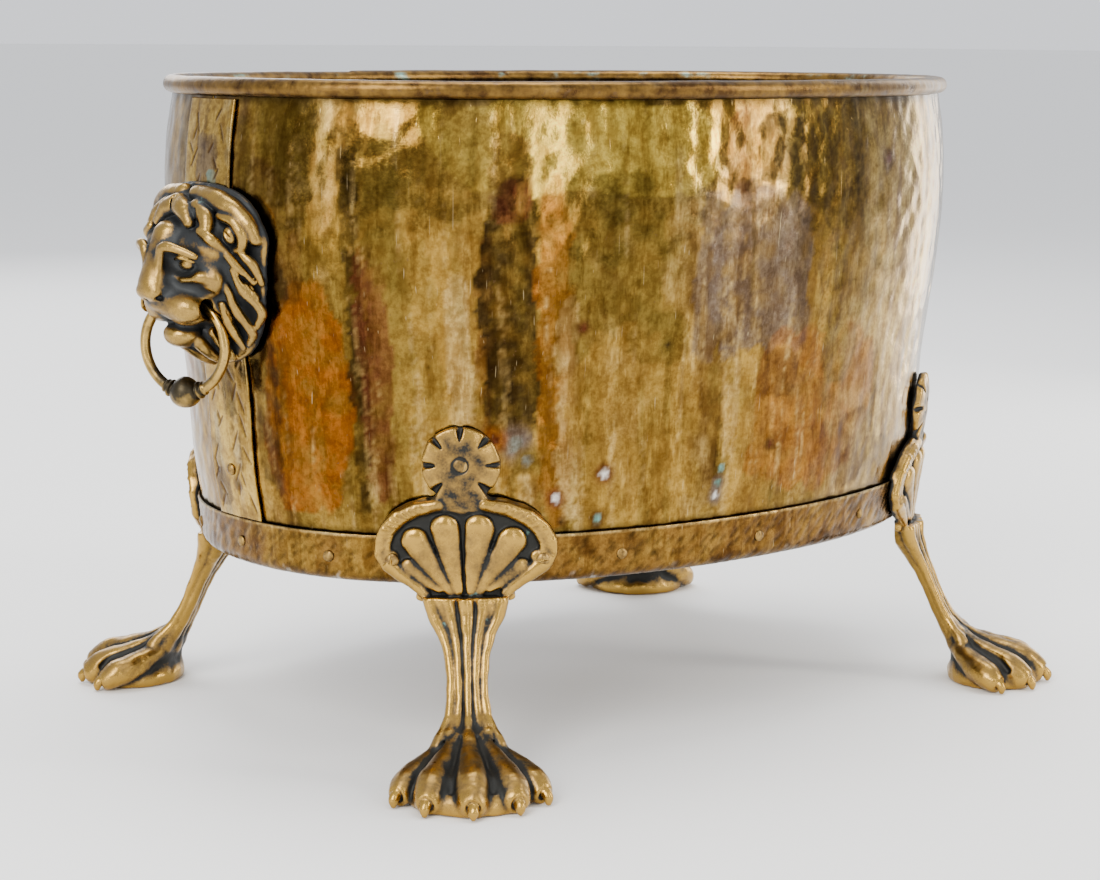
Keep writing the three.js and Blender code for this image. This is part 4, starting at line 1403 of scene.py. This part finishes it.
def shape_rosette(clay):
    """A domed disc with petal notches round its edge and a ring round its rivet."""
    u, w, z = clay.grid
    distance = np.hypot(u, z - ROSETTE_Z)
    out = w - (ROSETTE_FRONT + 0.9 - 1.5 * (distance / ROSETTE_RADIUS) ** 4)
    disc = rounded_corner(distance - ROSETTE_RADIUS, np.maximum(out, 0.4 - w), 1.0)
    clay.merge(disc, 0.3)
    for turn in np.radians([-45, 0, 45, 90]):
        c, s = math.cos(turn), math.sin(turn)
        path = [(r * c, ROSETTE_FRONT + 0.6, ROSETTE_Z + r * s) for r in (12.2, 20.5)]
        clay.stroke(path, [0.7, 2.7], 0.4, flat=0.5, carve=True)
    groove = np.maximum(np.abs(distance - 3.6) - 0.55, ROSETTE_FRONT + 0.1 - w)
    clay.merge(groove, 0.3, carve=True)


def shape_shell(clay):
    """A plate with a notched border, fanned petals and a boss for each screw."""
    clay.plate(mirrored_ring(SHELL_EDGE), 0.4, 4.2, 1.4)
    clay.plate([(-12, 128), (12, 128), (11, 140), (-11, 140)], 0.4, 5.2, 1.4, blend=2.5)
    rim = np.array(SHELL_RIM, float)
    path = np.stack([rim[:, 0], np.full(len(rim), 4.6), rim[:, 1]], axis=1)
    clay.stroke(path, [3.0, 3.6, 4.0, 4.3, 4.4, 4.4, 4.2, 3.8, 3.2, 2.6], 0.8, flat=1.15)
    random = np.random.default_rng(171)
    steps = np.linspace(0.06, 0.62, 17)
    places = np.linspace(0, 1, len(rim))
    for step in steps:
        u, z = (np.interp(step, places, rim[:, axis]) for axis in (0, 1))
        next_u, next_z = (np.interp(step + 0.02, places, rim[:, axis]) for axis in (0, 1))
        along = np.array([next_u - u, next_z - z])
        across = np.array([-along[1], along[0]]) / np.linalg.norm(along)
        lean = across + 0.5 * along / np.linalg.norm(along)
        reach = random.uniform(2.0, 3.4)
        start = (u - lean[0] * reach, 8.2, z - lean[1] * reach)
        end = (u + lean[0] * reach, 8.2, z + lean[1] * reach)
        clay.stroke([start, end], [1.2, random.uniform(0.8, 1.2)], 0.3, carve=True)
    for (head_u, head_z), head, (tail_u, tail_z), tail in PETALS:
        middle = ((head_u + tail_u) / 2, 5.3, (head_z + tail_z) / 2)
        path = [(head_u, 4.8, head_z), middle, (tail_u, 6.2, tail_z)]
        clay.stroke(path, [head, (head + tail) / 2 + 0.4, tail], 0.4, flat=1.9)
    clay.ball((LEG_SCREW_OUT, 4.4, LEG_SCREW_Z), (4.6, 2.6, 4.6), 1.0)


def shape_leg(clay):
    """A core, and ridges side by side down its front."""
    heights = np.linspace(88, 22, 23)
    wide, out = at_heights(heights, 1), at_heights(heights, 2)
    for share in (0, 1):
        radius = 0.36 * wide
        path = np.stack([0.5 * share * wide, out - radius - 2.0, heights], axis=1)
        clay.stroke(path, radius, 1.5)
    for ridge in range(RIDGES // 2 + 1):
        radius = wide / RIDGES * 0.98
        path = np.stack([1.96 * ridge * radius, out - radius - 0.07 * ridge * wide, heights], axis=1)
        clay.stroke(path, radius * 1.06, 0.25)
    clay.trim(LEG_TOP_Z - clay.grid[2])


def shape_paw(clay):
    """A pad with five toes, grooves between them, and a claw let into each tip."""
    clay.ball((0, 54, 4), (29, 25, 14), 3.0)
    clay.stroke([(0, 38, 20), (0, 46, 11), (0, 54, 6)], [9, 11, 9], 4.0)
    clay.stroke([(8, 41, 14), (16, 50, 8), (20, 55, 5)], [9, 9, 7], 4.0)
    clay.stroke([(0, 44, 5), (0, 74, 4.6)], [6, 7], 2.0)
    for toe in TOE_PATHS:
        toe = np.array(toe, float)
        clay.stroke(toe[:, :3], toe[:, 3], 1.6)
    for first, second in zip(TOE_PATHS, TOE_PATHS[1:]):
        gap = (np.array(first, float) + np.array(second)) / 2
        gap[:, 2] += [5.2, 6.4, 6.6, 4.4]
        clay.stroke(gap[:, :3], [0.5, 1.2, 1.8, 1.6], 1.4, carve=True)
    for toe in TOE_PATHS:
        (arch_u, arch_w, _, _), (tip_u, tip_w, _, radius) = toe[1], toe[3]
        ahead = np.array([tip_u - arch_u, tip_w - arch_w], float)
        ahead /= np.linalg.norm(ahead)
        front = np.array([tip_u, tip_w]) + ahead * radius
        clay.ball((*(front - ahead * 0.4), 4.2), (4.3, 3.0, 5.6), 0.7, carve=True)
        claw = [(*(front - ahead * 3.2), 7.0), (*(front - ahead * 0.4), 4.6), (*front, 1.6)]
        clay.stroke(claw, [2.9, 2.6, 1.3], 0.3)


def foot_model():
    """One foot, flat: points, quads and recesses."""
    cell = 0.72
    clay = Clay(46, (-1 - 2 * cell, 91), (-2, 172), cell)
    shape_leg(clay)
    shape_paw(clay)
    shape_shell(clay)
    shape_rosette(clay)
    _, w, z = clay.grid
    clearance = np.where(z < BAND_TOP_Z + 0.4, BAND_OUTSIDE + 0.3, 0.35)
    behind = np.where(z > BASE_Z - 0.5, w - clearance, w + 0.9)
    clay.trim(np.minimum(behind, z - SOLE_Z))
    return clay.skin(0.16, 181, (z > BASE_Z - 1) & (w < clearance))


def place_foot(points, angle):
    """Bends the plate onto the wall, and stands the leg straight out from the base."""
    u, w, z = points.T
    bent = wrap_on_wall(np.stack([u, w, np.maximum(z, BASE_Z)], axis=1), angle)
    bent[:, 2] = z
    normal = wall_normal(angle, BASE_Z)
    normal = np.array([normal[0], normal[1], 0]) / np.hypot(normal[0], normal[1])
    across = np.array([normal[1], -normal[0], 0])
    straight = wall_point(angle, BASE_Z, 0) + np.outer(u, across) + np.outer(w, normal)
    straight[:, 2] = z
    t = ease(np.clip((z - 78) / 20, 0, 1))[:, None]
    return straight * (1 - t) + bent * t


def add_feet():
    points, quads, recess = foot_model()
    brass = cast_brass("cast_brass", (0.42, 0.25, 0.05), (0.018, 0.018, 0.016), 0.10, 0.55)
    z = points[:, 2]
    dusty = 0.20 * np.clip((34 - z) / 8, 0, 1) * np.clip((z - 7) / 6, 0, 1)
    recess = recess + dusty + 0.12 * np.clip((z - 120) / 14, 0, 1)
    faces = quads.tolist()
    for corner, angle in FEET.items():
        piece = new_object(f"leg_{corner}_skin", place_foot(points, angle), faces)
        set_attribute(piece, "recess", recess)
        finish_piece(piece, brass, [f"leg_{corner}"])


# ---------------- the lion masks and rings

MASK_EDGE = [
    (0, 281), (11, 280.5), (25, 278), (35, 273), (41, 265), (44.5, 256), (43, 246), (41, 233),
    (39, 222), (36, 213), (30, 204), (22, 198), (10, 194), (0, 192.5),
]


def shape_face(clay):
    """The back plate, brow, nose, muzzle, eyes, mouth and chin."""
    clay.plate(mirrored_ring(MASK_EDGE), 0, 4.6, 1.5)
    clay.ball((0, 6, 243), (31, 14, 33), 5)
    clay.ball((0, 15, 238), (19, 14, 26), 4)
    clay.ball((13, 14, 250), (15, 9, 10), 4)
    clay.stroke([(0, 22, 256), (0, 27.5, 245), (0, 33, 233)], [7.0, 6.6, 7.0], 3)
    clay.ball((0, 25, 227), (11, 11.5, 9.5), 3)
    clay.ball((9.0, 23.0, 222), (10.8, 10.4, 8.2), 4.0)
    clay.ball((19.0, 16.6, 236.5), (8.0, 5.0, 8.4), 4.0, lean=30)
    clay.stroke([(12, 25.5, 236.5), (19, 22.0, 237.5), (24.5, 17.0, 236)], [1.6, 3.0, 1.8], 1.5)
    clay.ball((13.0, 28.0, 244.0), (8.6, 7.0, 7.0), 2.4, lean=-12, carve=True)
    clay.stroke([(4.4, 35, 231), (4.6, 32.5, 242), (6.5, 31.5, 250.5), (12, 29.5, 251.5),
                 (20.5, 24.5, 247.5)], [1.8, 1.9, 2.3, 2.4, 1.6], 1.2)
    clay.ball((12.3, 22.4, 243.2), (4.2, 3.2, 2.7), 0.8)
    clay.stroke([(7.5, 25.0, 245.4), (12.2, 26.0, 246.6), (17.2, 22.4, 244.6)], [0.9, 1.1, 0.8], 0.8)
    clay.ball((0, 36.0, 230), (7.4, 4.4, 4.6), 1.6)
    clay.ball((5.8, 35.0, 227.2), (1.6, 2.0, 1.3), 0.5, carve=True)
    clay.stroke([(0, 38, 226.5), (0, 37, 221)], [0.7, 0.7], 0.5, carve=True)
    mouth = [(0, 34.5, 214.5), (9, 32.5, 213.2), (17, 25.5, 215.5), (21, 20, 220)]
    clay.stroke(mouth, [1.5, 1.7, 1.7, 1.3], 0.8, carve=True)
    clay.ball((0, 20.5, 208), (8.5, 9.5, 6.2), 3.5)
    clay.stroke([(17, 25, 232), (23, 19.5, 228.5), (26, 14, 222)], [1.6, 1.9, 1.3], 1.2, carve=True)


def shape_mane(clay):
    """Ears and locks, each a tapering stroke, and the partings cut between them."""
    arch = [(6, 8, 275), (18, 8, 273.5), (29, 7.5, 269.5), (37, 6.5, 262.5), (40, 5.5, 255.5)]
    clay.stroke(arch, [5.0, 5.4, 5.0, 4.2, 3.2], 1.2)
    clay.stroke([(0, 15, 271), (7, 17, 268), (12, 19, 262.5)], [5.0, 4.6, 2.6], 0.8)
    clay.stroke([(12, 13, 269.5), (19.5, 15, 265), (22, 18, 258.5)], [4.4, 3.8, 2.4], 0.8)
    clay.stroke([(20, 19, 259), (24.5, 18, 255.5), (27.5, 15, 251.5)], [2.4, 3.0, 1.8], 0.6)
    clay.stroke(
        [(25, 11.5, 266), (32, 11, 264), (36, 10, 258), (34.5, 9.5, 251.5), (31, 10, 250)],
        [2.4, 2.7, 2.6, 2.2, 1.6], 0.6,
    )
    clay.ball((29.5, 10.5, 257.5), (3.2, 3.4, 4.4), 0.5)
    clay.stroke([(27, 14, 252), (31.5, 11.5, 244), (38, 7.5, 235.5)], [1.8, 2.3, 1.4], 0.5)
    clay.stroke([(34, 9, 249), (39, 7.5, 243.5), (41, 5.5, 235)], [2.0, 2.4, 1.5], 0.5)
    clay.stroke([(30.5, 12, 241), (33, 9.5, 232), (39.5, 6, 222), (35.5, 6, 214)],
                [1.6, 2.6, 2.3, 1.5], 0.5)
    clay.stroke([(34.5, 8.2, 234), (38.5, 7, 228)], [1.8, 1.4], 0.4)
    clay.stroke([(26, 13.5, 234), (28.5, 10.5, 222), (33, 7, 211), (29, 6, 205)],
                [1.8, 2.5, 2.2, 1.3], 0.5)
    clay.stroke([(22, 12.5, 224), (22.5, 9.5, 213), (25, 6, 203)], [2.2, 2.6, 1.5], 0.5)
    clay.stroke([(15, 13, 210), (15, 9.5, 203.5), (16.5, 6, 197.5)], [3.2, 2.8, 1.5], 0.5)
    clay.stroke([(6.5, 17, 205), (7, 11.5, 199), (7.5, 6, 194.8)], [3.6, 3.0, 1.6], 0.5)
    clay.stroke([(0, 20, 203.5), (0, 12, 197), (0, 6, 193.8)], [3.2, 2.8, 1.8], 0.5)
    for path in (
        [(29, 14.0, 259), (33, 12.5, 254)],
        [(33, 10.0, 241), (37.5, 8.0, 232)],
        [(30, 11.5, 228), (34, 8.5, 216)],
        [(24.5, 12.5, 221), (27, 8.0, 208)],
        [(11, 13, 204.5), (11.5, 8.5, 197)],
        [(3.3, 19, 202), (3.5, 10, 195.5)],
        [(14, 17.5, 269), (17, 19.5, 261)],
        [(0, 18, 276), (0, 21, 262)],
    ):
        clay.stroke(path, [0.9, 0.7], 0.5, carve=True)


def ring_way(points):
    """How deep flat mask points lie in the space that the left ring sweeps as it swings."""
    points = wrap_on_wall(points, 180) + [RING_PIVOT_X, 0, -RING_PIVOT_Z]
    x, y, z = rotated_points(points, -RING_YAW).T
    turn = np.degrees(np.arctan2(-x, -z))
    past = np.radians(turn - np.clip(turn, *RING_SWING))
    reach = np.hypot(x, z)
    from_wire = np.hypot(y, reach * np.cos(past) - RING_RADIUS) - RING_RADIUS
    return RING_WIRE + 0.5 - np.hypot(from_wire, reach * np.sin(past))


def lion_model():
    """One mask, flat: points, quads and recesses."""
    cell = 0.6
    clay = Clay(48, (-1, 45), (188, 288), cell)
    shape_face(clay)
    shape_mane(clay)
    w = clay.grid[1]
    seat = STRAP_OUTSIDE + 0.35
    clay.trim(w - seat)
    return clay.skin(0.14, 191, w < seat, ring_way)


def add_masks():
    points, quads, recess = lion_model()
    brass = cast_brass("mask_brass", (0.40, 0.25, 0.06), (0.024, 0.026, 0.027), 0.25, 0.3)
    faces = quads.tolist()
    for side, end in ENDS.items():
        placed = wrap_on_wall(points, end)
        piece = new_object(f"lion_mask_{side}_skin", placed, faces)
        set_attribute(piece, "recess", recess)
        finish_piece(piece, brass, [f"lion_mask_{side}"])


def knop_radius(arc):
    """The ring's thickness by the distance along it from its lowest point."""
    arc = np.abs(arc)
    ball = np.sqrt(np.maximum(KNOP_RADIUS**2 - arc**2, 0))
    collar = 4.4 * np.sqrt(np.maximum(1 - ((arc - 8.4) / 1.5) ** 2, 0))
    bead = 3.6 * np.sqrt(np.maximum(1 - ((arc - 10.9) / 1.3) ** 2, 0))
    return np.maximum.reduce([ball, collar, bead, np.full(arc.shape, RING_WIRE)])


def ring_material():
    """Handled brass, black in the knop's grooves and bright where the ring is rubbed."""
    recipe = Recipe("ring_brass")
    cloud = recipe.noise(130, 4.0, 0.6)
    grain = recipe.noise(800, 3.0, 0.6)
    rub = recipe.attribute("rub")
    rub = recipe.plus(rub, recipe.span(cloud, 0.3, 0.7, -0.25, 0.25))
    color = recipe.mix(recipe.span(rub, 0.25, 0.8), (0.045, 0.036, 0.022), (0.45, 0.285, 0.075))
    color = recipe.spots(color, 420, 0.5, (0.08, 0.06, 0.04))
    roughness = recipe.span(rub, 0.2, 0.8, 0.42, 0.22)
    normal = recipe.bump(grain, 0.00003)
    normal = recipe.bump(cloud, 0.0002, normal)
    return recipe.finish(Base_Color=color, Roughness=roughness, Normal=normal)


def add_rings():
    material = ring_material()
    around, section = 300, 22
    turn = np.arange(around) * 2 * math.pi / around
    arc = RING_RADIUS * ((turn + math.pi) % (2 * math.pi) - math.pi)
    radius = knop_radius(arc)[:, None]
    side = np.arange(section) * 2 * math.pi / section
    turn, side = np.meshgrid(turn, side, indexing="ij")
    uneven = 1 + 0.02 * np.sin(3 * turn + 1) + 0.015 * np.sin(7 * turn + 2 * side)
    reach = RING_RADIUS + radius * uneven * np.cos(side)
    out = radius * uneven * np.sin(side)
    flat = np.stack([out, reach * np.sin(turn), -RING_RADIUS - reach * np.cos(turn)], axis=-1)
    flat = flat.reshape(-1, 3)
    away = np.abs(arc)
    rub = np.clip(0.25 + away / 55, 0, 0.85)[:, None] + 0.35 * np.cos(side)
    groove = np.exp(-(((away - 6.9) / 0.9) ** 2)) + np.exp(-(((away - 9.8) / 0.8) ** 2))
    rub = rub - 0.5 * groove[:, None]
    for name, end in ENDS.items():
        points = rotated_points(flat, RING_YAW) + [-RING_PIVOT_X, 0, RING_PIVOT_Z]
        points = rotated_points(points, end - 180)
        faces = strip_faces(around, section, True, True)
        piece = new_object(f"ring_handle_{name}_skin", points, faces)
        set_attribute(piece, "rub", rub)
        body = f"{name}_ring"
        finish_piece(piece, material, [f"ring_handle_{name}"], body)


# ---------------- the scene

add_camera()
add_studio()
add_floor()
add_walls()
add_straps()
add_base_pan()
add_rim()
add_hardware()
add_feet()
add_masks()
add_rings()
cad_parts["rim_wire"].data.materials.clear()
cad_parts["rim_wire"].data.materials.append(old_iron())
